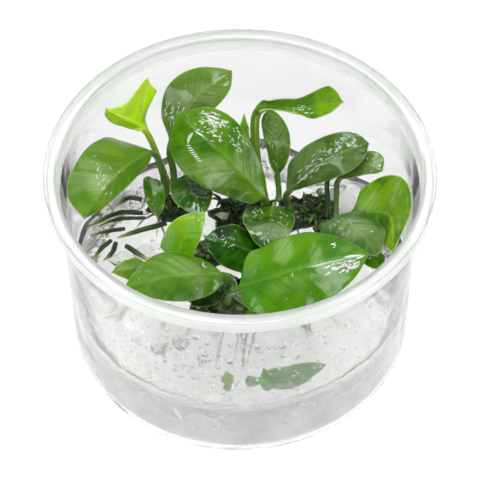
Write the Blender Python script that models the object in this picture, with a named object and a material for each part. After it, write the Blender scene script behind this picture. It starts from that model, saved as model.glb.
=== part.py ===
"""Anubias barteri plantlets from tissue culture, in their round plastic cup of growing gel.

Metres, +Z up. The origin is the middle of the cup's base, +X points right and +Y points to the cup's back
as the cup is usually shown. Points in the tables are millimetres, because the plants are small.
"""
import math
from typing import NamedTuple

import bpy
from mathutils import Quaternion, Vector

MM = 0.001

# Driving dimensions of the cup, in millimetres
RIM_RADIUS = 47.5
CUP_HEIGHT = 62.0
WALL = 1.0
SKIRT_HEIGHT = 3.1
SKIRT_WALL = 1.0
RIM_TOP_WALL = 1.2
MOUTH_RADIUS = 44.2
NECK_RADIUS = 43.5
NECK_DROP = 12.0
FOOT_RADIUS = 42.4
FOOT_FILLET = 9.0
EDGE_BREAK = 0.4
FLANGE_RADIUS = 44.9
BELL_RADIUS = 44.05
BELL_DROP = 4.7
THROAT_RADIUS = 43.6
THROAT_DROP = 4.2
FILLET_STEPS = 4
CUP_SEGMENTS = 48

# Driving dimensions of the gel, in millimetres
GEL_HEIGHT = 23.4
GEL_GAP = 0.4
GEL_SEGMENTS = 36
GEL_RING_RADII = (37.0, 31.0, 25.0, 18.0, 10.0)

# Driving dimensions of the plants, in millimetres
PETIOLE_RADIUS = 0.9
BLADE_THICKNESS = 0.7
MIDRIB_THICKNESS = 1.1
EDGE_THICKNESS = 0.25
PETIOLE_SIDE = 0.72
PETIOLE_STEPS = 3
OPENING_SHARE = 0.2
MIDRIB_TAPER = 0.7
SLOPE_REACH = 0.03
BLADE_STATIONS = (0.0, 0.05, 0.16, 0.3, 0.45, 0.6, 0.75, 0.88, 0.96, 0.99)
ACROSS_STOPS = (0.55, 1.0)
CURL_FADE = 1.8
ROOT_SIDES = 6
ROOT_STEPS = 6
ROOT_TIP = 0.35
RHIZOME_SIDES = 10
RHIZOME_STEPS = 6
RHIZOME_END = 0.5
SHARP_DEGREES = 50


class GelLump(NamedTuple):
    """A soft rise in the gel's top: where it stands, how high and how wide it is."""
    x: float
    y: float
    rise: float
    spread: float


GEL_LUMPS = (
    GelLump(30, 21, 6.0, 7.0),
    GelLump(3, 38, 3.0, 9.0),
    GelLump(-27, 28, 2.2, 7.0),
    GelLump(38, -6, 2.0, 8.0),
    GelLump(12, -2, 1.2, 8.0),
    GelLump(-22, -22, -1.5, 12.0),
    GelLump(0, -36, -2.0, 12.0),
)


class Rhizome(NamedTuple):
    """A short creeping stem that lies in the top of the gel."""
    name: str
    start: tuple
    end: tuple
    radius: float


RHIZOMES = (
    Rhizome("rhizome_left", (-22.5, 18.5, 25.8), (-13.0, 22.5, 25.8), 1.7),
    Rhizome("rhizome_middle", (-14.0, 1.0, 26.0), (-6.5, 7.0, 26.0), 1.6),
    Rhizome("rhizome_centre", (3.5, 18.5, 26.0), (14.5, 14.0, 26.0), 1.8),
    Rhizome("rhizome_right", (19.5, 14.0, 26.0), (28.0, 7.0, 26.0), 1.7),
    Rhizome("rhizome_front", (-6.5, -13.0, 25.6), (6.5, -16.5, 25.6), 1.9),
)


class Root(NamedTuple):
    """A thick anubias root, from beside its rhizome to its tip."""
    name: str
    points: tuple
    radius: float


ROOTS = (
    Root("root_01", ((-24.9, 21.8, 26.0), (-28.5, 22.0, 26.3), (-31.0, 19.8, 26.0)), 0.70),
    Root("root_02", ((-24.6, 17.4, 25.8), (-31.0, 17.0, 26.2), (-39.0, 12.2, 26.0)), 0.65),
    Root("root_03", ((-24.0, 15.6, 26.0), (-30.5, 15.2, 26.0), (-36.0, 13.2, 25.6)), 0.50),
    Root("root_04", ((-18.6, 13.6, 26.2), (-25.0, 11.2, 26.4), (-31.0, 9.0, 26.0)), 0.70),
    Root("root_05", ((-29.0, 12.2, 25.8), (-33.0, 11.4, 25.8), (-37.5, 10.0, 25.6)), 0.55),
    Root("root_06", ((-32.4, 8.2, 26.0), (-34.8, 5.6, 25.8), (-36.8, 2.0, 25.6)), 0.60),
    Root("root_07", ((-31.2, 7.4, 26.0), (-32.0, 4.6, 25.6), (-34.2, 2.0, 25.4)), 0.65),
    Root("root_08", ((-28.6, 6.4, 26.0), (-26.2, 4.4, 26.0), (-22.0, 1.2, 25.6)), 0.70),
    Root("root_09", ((-15.8, 0.0, 25.8), (-20.0, -3.0, 26.0), (-25.0, -5.0, 25.6)), 0.60),
    Root("root_10", ((16.2, 17.0, 26.0), (19.5, 20.5, 26.6), (21.0, 25.5, 26.2)), 0.60),
    Root("root_11", ((30.0, 8.6, 26.0), (33.5, 10.0, 26.4), (37.5, 9.0, 26.0)), 0.60),
    Root("root_12", ((8.8, -17.0, 25.6), (13.5, -18.5, 25.6), (18.0, -21.5, 25.4)), 0.60),
    Root("root_13", ((-8.9, -13.5, 25.6), (-13.0, -16.5, 25.6), (-19.0, -18.0, 25.4)), 0.60),
)

# Blade outlines: share of the greatest half width at shares of the blade's length
OVATE = ((0, 0), (0.06, 0.42), (0.2, 0.82), (0.42, 1), (0.66, 0.86), (0.87, 0.42), (1, 0))
FULL = ((0, 0), (0.04, 0.48), (0.16, 0.86), (0.38, 1), (0.64, 0.9), (0.87, 0.48), (1, 0))
ROUND = ((0, 0), (0.04, 0.58), (0.16, 0.88), (0.38, 1), (0.64, 0.92), (0.87, 0.5), (1, 0))
BLUNT = ((0, 0), (0.1, 0.36), (0.3, 0.78), (0.56, 1), (0.8, 0.93), (0.94, 0.58), (1, 0))
HEART = ((0, 0.3), (0.03, 0.78), (0.14, 0.98), (0.32, 1), (0.6, 0.82), (0.85, 0.4), (1, 0))
ELLIPTIC = ((0, 0), (0.08, 0.36), (0.25, 0.78), (0.48, 1), (0.72, 0.87), (0.9, 0.45), (1, 0))
SLIM = ((0, 0), (0.12, 0.42), (0.24, 0.78), (0.42, 1), (0.64, 0.83), (0.88, 0.37), (1, 0))
LOBED = ((0, 0.5), (0.04, 0.92), (0.14, 0.96), (0.34, 1), (0.6, 0.87), (0.8, 0.72), (0.93, 0.42), (1, 0))
SPOON = ((0, 0), (0.06, 0.3), (0.22, 0.63), (0.42, 0.9), (0.6, 1), (0.77, 0.92), (0.9, 0.65), (1, 0))
TAIL = ((0, 0), (0.12, 0.27), (0.24, 0.54), (0.4, 0.88), (0.58, 1), (0.77, 0.88), (0.9, 0.57), (1, 0))
WING = ((0, 0.42), (0.05, 0.64), (0.13, 0.82), (0.3, 0.92), (0.5, 1), (0.59, 0.46), (0.7, 0.24), (1, 0))
FLARED_FAR = ((0, 0.42), (0.2, 0.46), (0.45, 0.54), (0.64, 0.74), (0.84, 1), (0.93, 0.7), (1, 0))
FLARED_NEAR = ((0, 0.45), (0.3, 0.45), (0.52, 0.52), (0.68, 1), (0.82, 0.76), (0.94, 0.38), (1, 0))


class Half(NamedTuple):
    """One half of a blade: its greatest width, how far it lifts above level in degrees, how much further it
    bends towards its edge at the blade's base and past its middle, and its outline."""
    width: float
    lift: float
    curl_base: float = 0.0
    curl_tip: float = 0.0
    outline: tuple = OVATE


class Leaf(NamedTuple):
    """A leaf: petiole from foot by way of via to base, then a blade along a midrib from base to tip.

    bow is how far the midrib's middle stands off the straight line. left and right are the blade's halves,
    seen from the base towards the tip.
    """
    name: str
    foot: tuple
    via: tuple
    base: tuple
    tip: tuple
    bow: tuple
    left: Half
    right: Half
    petiole: float = PETIOLE_RADIUS


LEAVES = (
    Leaf("leaf_back_left", (-16.2, 20.6, 28.3), (-16.8, 23.5, 35), (-17.3, 26.5, 42), (-2, 37.2, 57.4),
         (-1.4, 0.2, 3.4), Half(7.5, 24, outline=SLIM), Half(5.4, -36, outline=TAIL)),
    Leaf("leaf_folded_young", (-18.0, 23.6, 28.3), (-20.3, 24.4, 37.8), (-23.6, 26.2, 47), (-33.0, 24.2, 57.4),
         (0, 0, 0.5), Half(2.9, -92, outline=BLUNT), Half(11.3, 55, outline=WING), 0.8),
    Leaf("leaf_left", (-19.0, 20.4, 28.3), (-19.6, 22.0, 36.5), (-22.6, 21.0, 44.6), (-37.5, -8.5, 54),
         (-1.6, -0.8, 2.8), Half(4.2, -50), Half(10.4, 12, outline=LOBED), 0.8),
    Leaf("leaf_hanging", (-22.6, 19.9, 28.2), (-23.8, 21.6, 33), (-22.6, 19.5, 36), (-20.6, 11.5, 31),
         (0, 0, 1), Half(2.8, 0, outline=ROUND), Half(2.3, -15, outline=ROUND), 0.7),
    Leaf("leaf_round", (-12.6, 21.2, 28.3), (-12.8, 21.6, 33), (-13.5, 19.5, 37), (-9, 6.5, 38),
         (-0.5, -1, 1.5), Half(5.3, -10, outline=FULL), Half(5.1, 0, outline=FULL)),
    Leaf("leaf_middle", (6.5, 15.5, 28.6), (6.0, 13.5, 33), (6, 12, 38), (-15.4, 25.8, 54),
         (0.2, -2.6, 4.0), Half(10.3, -42, outline=SPOON), Half(9.2, 4, outline=SPOON)),
    Leaf("leaf_heart", (10.2, 14.4, 28.6), (9.4, 13.0, 32), (8.2, 10.6, 35), (5.4, -5.4, 39),
         (0.5, -1, 2), Half(5.8, -8, outline=HEART), Half(7.0, -4, outline=HEART)),
    Leaf("leaf_upright", (9.8, 18.9, 28.6), (9.8, 21.0, 31), (9.4, 23, 34), (7.6, 33.4, 47.6),
         (0.7, -1, 1.5), Half(3.2, -20, outline=BLUNT), Half(3.5, 15, outline=ELLIPTIC), 0.75),
    Leaf("leaf_rolled", (5.6, 19.8, 28.6), (4.0, 26.0, 40), (4.8, 31.2, 49.4), (25.5, 27, 57),
         (-0.5, 0, -1.0), Half(4.7, 35, 110, 0, FLARED_FAR), Half(3.6, -5, 130, -20, FLARED_NEAR), 1.15),
    Leaf("leaf_narrow", (2.2, 20.6, 28.4), (2.3, 23.5, 33), (1.9, 27, 38), (1.1, 31.0, 48),
         (-0.5, 0, 0), Half(1.5, 10), Half(1.4, 30), 0.7),
    Leaf("leaf_back_right", (12.4, 16.6, 28.6), (12.2, 17.2, 31), (12.3, 17.5, 34), (32, 19.5, 50),
         (0.3, -0.5, 4), Half(6.4, 26, outline=LOBED), Half(5.2, -45, outline=TAIL), 0.8),
    Leaf("leaf_under", (22.0, 13.8, 28.6), (22.0, 15.9, 33.2), (21.9, 18.6, 36.5), (25.4, 27.0, 42.0),
         (0, 0, 1), Half(2.8, 0), Half(2.2, 0), 0.65),
    Leaf("leaf_behind", (24.2, 12.0, 28.6), (24.2, 15.4, 34), (24.9, 18.8, 37.2), (35.4, 14.8, 45),
         (0.5, 0.5, 3.4), Half(3.8, 25, outline=BLUNT), Half(2.7, -40, outline=ELLIPTIC), 0.7),
    Leaf("leaf_right", (27.6, 9.6, 28.4), (26.6, 8.2, 33), (25.6, 5.6, 37.5), (36.8, -16.0, 50.5),
         (4.9, 4.0, 3.2), Half(9.8, 56, outline=ELLIPTIC), Half(4.8, -50, outline=FULL)),
    Leaf("leaf_side", (23.7, 9.0, 28.4), (23.0, 5.0, 35.5), (24.5, 0.7, 43.3), (33.0, -17.1, 50.3),
         (0.3, -0.3, 2.0), Half(7.0, -12, outline=HEART), Half(6.8, -16, outline=HEART)),
    Leaf("leaf_low_right", (28.5, 4.6, 28.0), (29.4, 1.0, 33), (30.4, -4, 37), (34.6, -14.4, 42),
         (0, -0.5, 1), Half(2.8, 8), Half(2.8, -8)),
    Leaf("leaf_young_front", (-12.5, 0.5, 28.4), (-15.0, -5.0, 33.5), (-15.8, -9.4, 38), (-8.6, -4.5, 52),
         (-1.0, 0, 1), Half(5.2, 24, outline=HEART), Half(4.0, -20, outline=FULL)),
    Leaf("leaf_dark", (-6.5, 4.5, 28.4), (2.0, 1.5, 31), (5.0, -3.4, 34), (-8.8, -1.6, 38.5),
         (0, -0.5, 1.5), Half(6.0, -40, outline=FULL), Half(6.4, 0, outline=FULL)),
    Leaf("leaf_front_left", (-3.0, -13.6, 28.4), (-1.6, -14.5, 37), (-4.5, -18, 44), (-27.5, -27.5, 51),
         (0.5, 0.5, 1.5), Half(6.4, -35), Half(8.8, -8)),
    Leaf("leaf_left_tip", (-6.2, -11.4, 28.4), (-14.0, -12.0, 36), (-20.5, -13, 40.5), (-30.8, -19.4, 47),
         (0.5, -0.5, 1.5), Half(3.4, -40), Half(3.2, 5)),
    Leaf("leaf_front_right", (2.6, -14.6, 28.4), (-1.2, -19.0, 38), (0.2, -22.6, 45), (30.8, -19.5, 54),
         (0, -1, 2.5), Half(13.7, -14, outline=ROUND), Half(10.0, -22, outline=FULL)),
    Leaf("leaf_under_front", (1.4, -19.6, 28.2), (2.2, -22.0, 32), (3.0, -22.0, 35.5), (16.5, -29.5, 40.5),
         (-0.5, -0.5, 1), Half(3.2, 10), Half(3.2, -40)),
    Leaf("leaf_dark_front", (-1.6, -10.6, 28.4), (-2.6, -10.8, 30.6), (-4.2, -12.0, 33), (-12, -22.5, 38),
         (0.5, -0.5, 1), Half(3.0, -40), Half(3.2, 10)),
    Leaf("leaf_on_wall", (2.6, -33.4, 22.9), (3.4, -36.4, 26.4), (4.8, -38.9, 30.3), (20.4, -35.6, 32.4),
         (0.1, -1.5, 0.4), Half(4.4, 88, outline=FULL), Half(3.8, -88, outline=FULL)),
    Leaf("leaf_low_front", (-3.0, -35.0, 22.6), (-2.9, -36.4, 24.6), (-2.9, -37.4, 27.0), (-2.9, -38.3, 33.0),
         (0, -0.2, 0), Half(1.6, 0), Half(1.6, 0), 0.7),
)

# Colours of the pieces, as seen in daylight
CUP_COLOUR = (0.86, 0.87, 0.89)
GEL_COLOUR = (0.74, 0.77, 0.70)
RHIZOME_COLOUR = (0.10, 0.13, 0.03)
ROOT_COLOUR = (0.07, 0.11, 0.03)
LEAF_COLOUR = (0.10, 0.28, 0.02)
YOUNG_LEAF_COLOUR = (0.30, 0.50, 0.02)
YOUNG_LEAVES = ("leaf_folded_young", "leaf_young_front", "leaf_narrow", "leaf_rolled")


def clear_scene():
    """Remove the objects of the starting scene."""
    for old in list(bpy.data.objects):
        bpy.data.objects.remove(old, do_unlink=True)


def principled(name, colour, roughness, transmission=0.0):
    """A plain Principled material."""
    material = bpy.data.materials.new(name)
    material.use_nodes = True
    shader = material.node_tree.nodes["Principled BSDF"]
    shader.inputs["Base Color"].default_value = (*colour, 1.0)
    shader.inputs["Roughness"].default_value = roughness
    shader.inputs["Metallic"].default_value = 0.0
    shader.inputs["Transmission Weight"].default_value = transmission
    return material


def add_object(name, points, faces, material):
    """Make a smooth-shaded object from points in millimetres."""
    mesh = bpy.data.meshes.new(name)
    mesh.from_pydata([Vector(point) * MM for point in points], [], faces)
    mesh.validate()
    mesh.shade_smooth()
    mesh.set_sharp_from_angle(angle=math.radians(SHARP_DEGREES))
    mesh.materials.append(material)
    item = bpy.data.objects.new(name, mesh)
    bpy.context.collection.objects.link(item)
    return item


def arc(centre_r, centre_z, radius, start_degrees, end_degrees, steps):
    """Points of an arc in the (radius, height) plane, ends included."""
    points = []
    for step in range(steps + 1):
        angle = math.radians(start_degrees + (end_degrees - start_degrees) * step / steps)
        points.append((centre_r + radius * math.cos(angle), centre_z + radius * math.sin(angle)))
    return points


def lathe(profile, segments, height_of=None):
    """Turn a profile, which starts and ends on the axis, into the points and faces of a closed solid.

    height_of(x, y, z), where given, moves each turned point to a new height.
    """
    def place(radius, angle, height):
        x, y = radius * math.cos(angle), radius * math.sin(angle)
        return (x, y, height_of(x, y, height) if height_of else height)

    rings = profile[1:-1]
    points = [place(0.0, 0.0, profile[0][1])]
    for radius, height in rings:
        for segment in range(segments):
            points.append(place(radius, 2 * math.pi * segment / segments, height))
    points.append(place(0.0, 0.0, profile[-1][1]))
    faces = []
    last_ring = 1 + (len(rings) - 1) * segments
    for segment in range(segments):
        following = (segment + 1) % segments
        faces.append((0, 1 + following, 1 + segment))
        faces.append((len(points) - 1, last_ring + segment, last_ring + following))
        for ring in range(len(rings) - 1):
            low = 1 + ring * segments
            high = low + segments
            faces.append((low + segment, low + following, high + following, high + segment))
    return points, faces


def inner_radius(height):
    """Radius of the cup's inner wall at a height above the inner fillet."""
    neck_height = CUP_HEIGHT - NECK_DROP
    share = (height - FOOT_FILLET) / (neck_height - FOOT_FILLET)
    return FOOT_RADIUS + (NECK_RADIUS - FOOT_RADIUS) * share - WALL


def cup_profile():
    """Outline of the cup from the middle of its base, up the outside, over the rim and down the inside."""
    under_rim = CUP_HEIGHT - RIM_TOP_WALL
    neck_height = CUP_HEIGHT - NECK_DROP
    skirt_inside = RIM_RADIUS - SKIRT_WALL
    outline = [(0.0, 0.0)]
    outline += arc(FOOT_RADIUS - FOOT_FILLET, FOOT_FILLET, FOOT_FILLET, -90, 0, FILLET_STEPS)
    outline += [(NECK_RADIUS, neck_height), (BELL_RADIUS, CUP_HEIGHT - BELL_DROP), (FLANGE_RADIUS, under_rim)]
    outline += [(skirt_inside, under_rim), (skirt_inside, CUP_HEIGHT - SKIRT_HEIGHT)]
    outline += [(RIM_RADIUS, CUP_HEIGHT - SKIRT_HEIGHT), (RIM_RADIUS, CUP_HEIGHT - EDGE_BREAK)]
    outline += [(RIM_RADIUS - EDGE_BREAK, CUP_HEIGHT), (MOUTH_RADIUS + EDGE_BREAK, CUP_HEIGHT)]
    outline += [(MOUTH_RADIUS, CUP_HEIGHT - EDGE_BREAK), (THROAT_RADIUS, CUP_HEIGHT - THROAT_DROP)]
    outline += [(inner_radius(neck_height), neck_height)]
    fillet = FOOT_FILLET - WALL
    outline += arc(FOOT_RADIUS - FOOT_FILLET, FOOT_FILLET, fillet, 0, -90, FILLET_STEPS)
    outline += [(0.0, WALL)]
    return outline


def gel_top(x, y):
    """Height of the gel's lumpy top."""
    height = GEL_HEIGHT
    for lump in GEL_LUMPS:
        distance = math.hypot(x - lump.x, y - lump.y)
        height += lump.rise * math.exp(-(distance / lump.spread) ** 2)
    return height


def gel_profile():
    """Outline of the gel from the middle of its underside, up the wall and back in over its top."""
    fillet = FOOT_FILLET - WALL - GEL_GAP
    outline = [(0.0, WALL + GEL_GAP)]
    outline += arc(FOOT_RADIUS - FOOT_FILLET, FOOT_FILLET, fillet, -90, 0, FILLET_STEPS)
    outline += [(inner_radius(GEL_HEIGHT) - GEL_GAP, GEL_HEIGHT)]
    outline += [(radius, GEL_HEIGHT) for radius in GEL_RING_RADII]
    outline += [(0.0, GEL_HEIGHT)]
    return outline


def smooth_path(knots, position):
    """Point of a Catmull-Rom curve through the knots, with one whole number per knot."""
    last = len(knots) - 1
    index = min(int(position), last - 1)
    share = position - index
    near, far = knots[index], knots[index + 1]
    before = knots[index - 1] if index > 0 else near * 2 - far
    after = knots[index + 2] if index + 2 <= last else far * 2 - near
    return 0.5 * (2 * near + (far - before) * share + (2 * before - 5 * near + 4 * far - after) * share ** 2
                  + (3 * near - before - 3 * far + after) * share ** 3)


def loft(loops):
    """Points and faces of a closed solid through loops of equally many points, with flat ends."""
    count = len(loops[0])
    points = [point for loop in loops for point in loop]
    faces = [tuple(range(count))[::-1]]
    for row in range(len(loops) - 1):
        low, high = row * count, (row + 1) * count
        for column in range(count):
            following = (column + 1) % count
            faces.append((low + column, low + following, high + following, high + column))
    faces.append(tuple(range((len(loops) - 1) * count, len(loops) * count)))
    return points, faces


def tube_loops(knots, radii, sides, steps):
    """Round loops along a smooth path, with the radius read between the given radii."""
    last = len(knots) - 1
    stations = [smooth_path(knots, last * step / steps) for step in range(steps + 1)]
    loops = []
    side = None
    for step, centre in enumerate(stations):
        ahead = stations[min(step + 1, steps)] - stations[max(step - 1, 0)]
        ahead.normalize()
        start = side if side is not None else ahead.orthogonal()
        side = (start - ahead * start.dot(ahead)).normalized()
        place = (len(radii) - 1) * step / steps
        index = min(int(place), len(radii) - 2)
        radius = radii[index] + (radii[index + 1] - radii[index]) * (place - index)
        loops.append([centre + Quaternion(ahead, 2 * math.pi * turn / sides) @ side * radius
                      for turn in range(sides)])
    return loops


def outline_at(outline, share):
    """Share of a half's greatest width at a share of the blade's length, read smoothly from its outline."""
    last = len(outline) - 1
    index = max(i for i in range(last) if outline[i][0] <= share)
    start, end = outline[index], outline[index + 1]
    place = (share - start[0]) / (end[0] - start[0])

    def slope(i):
        if i in (0, last):
            return 0.0 if i == 0 else (outline[last][1] - outline[last - 1][1]) / (1 - outline[last - 1][0])
        return (outline[i + 1][1] - outline[i - 1][1]) / (outline[i + 1][0] - outline[i - 1][0])

    reach = end[0] - start[0]
    rise = slope(index) if index else (end[1] - start[1]) / reach
    far = place * place * (3 - 2 * place)
    leaving = place * (1 - place) ** 2 * reach * rise
    arriving = place * place * (place - 1) * reach * slope(index + 1)
    return max((1 - far) * start[1] + far * end[1] + leaving + arriving, 0.0)


def half_points(centre, across, up, width, lift, curl):
    """Points from the midrib out to one edge of a blade, each with the direction its face looks in."""
    path = [(centre, up)]
    place = centre
    done = 0.0
    for stop in ACROSS_STOPS:
        angle = math.radians(lift + curl * 0.5 * (done + stop))
        direction = across * math.cos(angle) + up * math.sin(angle)
        place = place + direction * (width * (stop - done))
        path.append((place, up * math.cos(angle) - across * math.sin(angle)))
        done = stop
    return path


def leaf_loops(leaf):
    """Cross-section loops of a leaf from its petiole's foot to its blade's tip."""
    base, tip = Vector(leaf.base), Vector(leaf.tip)
    knots = [Vector(leaf.foot), Vector(leaf.via), base, (base + tip) / 2 + Vector(leaf.bow), tip]
    level = (tip - base).cross(Vector((0, 0, 1))).normalized()
    stations = [2.0 * step / PETIOLE_STEPS for step in range(PETIOLE_STEPS)]
    stations += [2.0 + 2.0 * share for share in BLADE_STATIONS]
    loops = []
    for station in stations:
        centre = smooth_path(knots, station)
        beyond = smooth_path(knots, min(station + SLOPE_REACH, 4.0))
        ahead = (beyond - smooth_path(knots, max(station - SLOPE_REACH, 0.0))).normalized()
        across = (level - ahead * level.dot(ahead)).normalized()
        up = across.cross(ahead)
        share = max(station / 2.0 - 1.0, 0.0)
        opening = min(1.0, share / OPENING_SHARE)
        stalk = leaf.petiole * (1 - MIDRIB_TAPER * share)
        halves = []
        for side, half in ((-1, leaf.left), (1, leaf.right)):
            reach = max(half.width * outline_at(half.outline, share), stalk) if share > 0 else stalk
            curl = half.curl_base + (half.curl_tip - half.curl_base) * min(1.0, CURL_FADE * share)
            halves.append(half_points(centre, across * side, up, reach, half.lift * opening, curl * opening))
        rib = leaf.petiole + (MIDRIB_THICKNESS / 2 - leaf.petiole) * opening
        flank = PETIOLE_SIDE * leaf.petiole
        sheet = flank + (BLADE_THICKNESS / 2 - flank) * opening
        edge = EDGE_THICKNESS / 2
        left, right = halves
        top = [left[2][0] + left[2][1] * edge, left[1][0] + left[1][1] * sheet, centre + up * rib]
        top += [right[1][0] + right[1][1] * sheet, right[2][0] + right[2][1] * edge]
        under = [right[1][0] - right[1][1] * sheet, centre - up * rib, left[1][0] - left[1][1] * sheet]
        loops.append(top + under)
    return loops


def build_cup():
    """The cup with its rim flange and skirt."""
    points, faces = lathe(cup_profile(), CUP_SEGMENTS)
    add_object("cup", points, faces, principled("cup_plastic", CUP_COLOUR, 0.35, 0.5))


def build_gel():
    """The bed of gel with its lumpy top."""
    def lift_top(x, y, z):
        return gel_top(x, y) if z >= GEL_HEIGHT else z

    points, faces = lathe(gel_profile(), GEL_SEGMENTS, lift_top)
    add_object("gel", points, faces, principled("growing_gel", GEL_COLOUR, 0.15, 0.8))


def build_rhizomes():
    """The creeping stems, thick in the middle with blunt ends."""
    material = principled("rhizome_skin", RHIZOME_COLOUR, 0.5)
    for rhizome in RHIZOMES:
        knots = [Vector(rhizome.start), Vector(rhizome.end)]
        blunt = RHIZOME_END * rhizome.radius
        radii = [blunt, rhizome.radius, rhizome.radius, blunt]
        loops = tube_loops(knots, radii, RHIZOME_SIDES, RHIZOME_STEPS)
        add_object(rhizome.name, *loft(loops), material)


def build_roots():
    """The roots, each tapering to its tip."""
    material = principled("root_skin", ROOT_COLOUR, 0.4)
    for root in ROOTS:
        knots = [Vector(point) for point in root.points]
        radii = [root.radius, root.radius, ROOT_TIP * root.radius]
        loops = tube_loops(knots, radii, ROOT_SIDES, ROOT_STEPS)
        add_object(root.name, *loft(loops), material)


def build_leaves():
    """The leaves, each one solid from its petiole's foot to its tip."""
    grown = principled("leaf_green", LEAF_COLOUR, 0.35)
    young = principled("leaf_yellow_green", YOUNG_LEAF_COLOUR, 0.35)
    for leaf in LEAVES:
        add_object(leaf.name, *loft(leaf_loops(leaf)), young if leaf.name in YOUNG_LEAVES else grown)


def main():
    """Build every piece."""
    clear_scene()
    build_cup()
    build_gel()
    build_rhizomes()
    build_roots()
    build_leaves()


main()
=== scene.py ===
"""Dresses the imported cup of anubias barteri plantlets: clear plastic, gel, wet leaves, roots and stage.

Metres, +Z up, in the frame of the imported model. The tables hold millimetres, as the plants are small.
"""

from math import cos, exp, hypot, pi, radians, sin, sqrt
from random import Random
from typing import NamedTuple

import bmesh
import bpy
from bpy.props import FloatProperty, FloatVectorProperty, IntProperty, PointerProperty
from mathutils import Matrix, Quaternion, Vector, noise


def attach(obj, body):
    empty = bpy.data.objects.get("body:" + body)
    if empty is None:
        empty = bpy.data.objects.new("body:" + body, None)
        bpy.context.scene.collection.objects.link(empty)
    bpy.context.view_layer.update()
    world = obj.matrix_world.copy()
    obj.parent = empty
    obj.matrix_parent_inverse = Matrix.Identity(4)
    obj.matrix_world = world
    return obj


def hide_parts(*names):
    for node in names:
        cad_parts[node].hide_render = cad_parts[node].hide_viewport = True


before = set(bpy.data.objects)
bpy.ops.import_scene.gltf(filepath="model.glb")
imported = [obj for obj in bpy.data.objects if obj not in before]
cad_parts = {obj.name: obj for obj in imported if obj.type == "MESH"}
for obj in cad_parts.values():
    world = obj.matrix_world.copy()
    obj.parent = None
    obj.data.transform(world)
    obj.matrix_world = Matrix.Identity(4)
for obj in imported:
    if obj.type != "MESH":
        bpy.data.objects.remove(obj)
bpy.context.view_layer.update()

bl_info = {
    "name": "Anubias plantlets in a cup",
    "version": (1, 0, 0),
    "blender": (4, 5, 0),
    "location": "3D View > Sidebar > Plant cup",
    "description": "Builds a plastic cup of growing gel with anubias barteri plantlets",
    "category": "Object",
}

MM = 0.001
UP = Vector((0, 0, 1))
ROOT_BODY = "root"
WHITE = (1.0, 1.0, 1.0)

# The cup, in millimetres
RIM_RADIUS = 47.5
SKIRT_INSIDE = 46.5
SKIRT_FOOT = 58.9
CUP_HEIGHT = 62.0
WALL = 1.0
BASE_TOP = 1.3
MOUTH_RADIUS = 44.2
NECK_RADIUS = 43.5
NECK_HEIGHT = 50.0
FOOT_RADIUS = 42.4
FOOT_FILLET = 9.0
CUP_SEGMENTS = 160

# The gel, in millimetres
GEL_HEIGHT = 23.4
GEL_GAP = 0.15
GEL_SEGMENTS = 180
GEL_RING_STEP = 0.8
ROOT_BED_RISE = 1.3
CHIP_CORNERS = 13
CLEAR_CHIPS = 90
CHIP_REACH = 37

# The plants
COLUMNS = (0.0, 0.04, 0.08, 0.13, 0.2, 0.3, 0.42, 0.55, 0.68, 0.8, 0.9, 0.96, 1.0)
PETIOLE_STEPS = 14
BLADE_STEPS = 46
LAST_STATION = 3.992
OPENING_SHARE = 0.2
CREASE = 0.09
CURL_FADE = 1.8
SLOPE_REACH = 0.03
MIDRIB_TAPER = 0.75
FINE_ROOTS_EACH = 9
FINE_ROOT_REACH = 38
CRUMBS_PER_SQUARE = 1.3
CRUMB_SHARE = 0.3

# The water: dashes in a row on the middle leaf, and where the wall is wet, in degrees and millimetres
MIDDLE_DASHES = 8
WET_BEARINGS = (-165, -15)
WET_HEIGHTS = (25.5, 49.5)

# The stage
CAMERA_LENS = 230.52
CAMERA_PLACE = (0.0, -488.52, 618.09)
CAMERA_AIM = (0.0, 0.0, 35.9)
FLOOR_REACH = 1500.0
FLOOR_STEPS = 24
FLOOR_HEIGHT = -0.02

# Soft rises and dips in the gel's top: x, y, height and spread
GEL_LUMPS = (
    (30, 21, 6, 7), (3, 38, 3, 9), (-27, 28, 2.2, 7), (38, -6, 2, 8), (12, -2, 1.2, 8),
    (-22, -22, -1.5, 12), (0, -36, -2, 12),
)

# Short creeping stems that lie in the top of the gel: start, end and radius
RHIZOMES = (
    ("rhizome_left", (-22.5, 18.5, 25.8), (-13, 22.5, 25.8), 1.7),
    ("rhizome_middle", (-14, 1, 26), (-6.5, 7, 26), 1.6),
    ("rhizome_centre", (3.5, 18.5, 26), (14.5, 14, 26), 1.8),
    ("rhizome_right", (19.5, 14, 26), (28, 7, 26), 1.7),
    ("rhizome_front", (-6.5, -13, 25.6), (6.5, -16.5, 25.6), 1.9),
)

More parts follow.
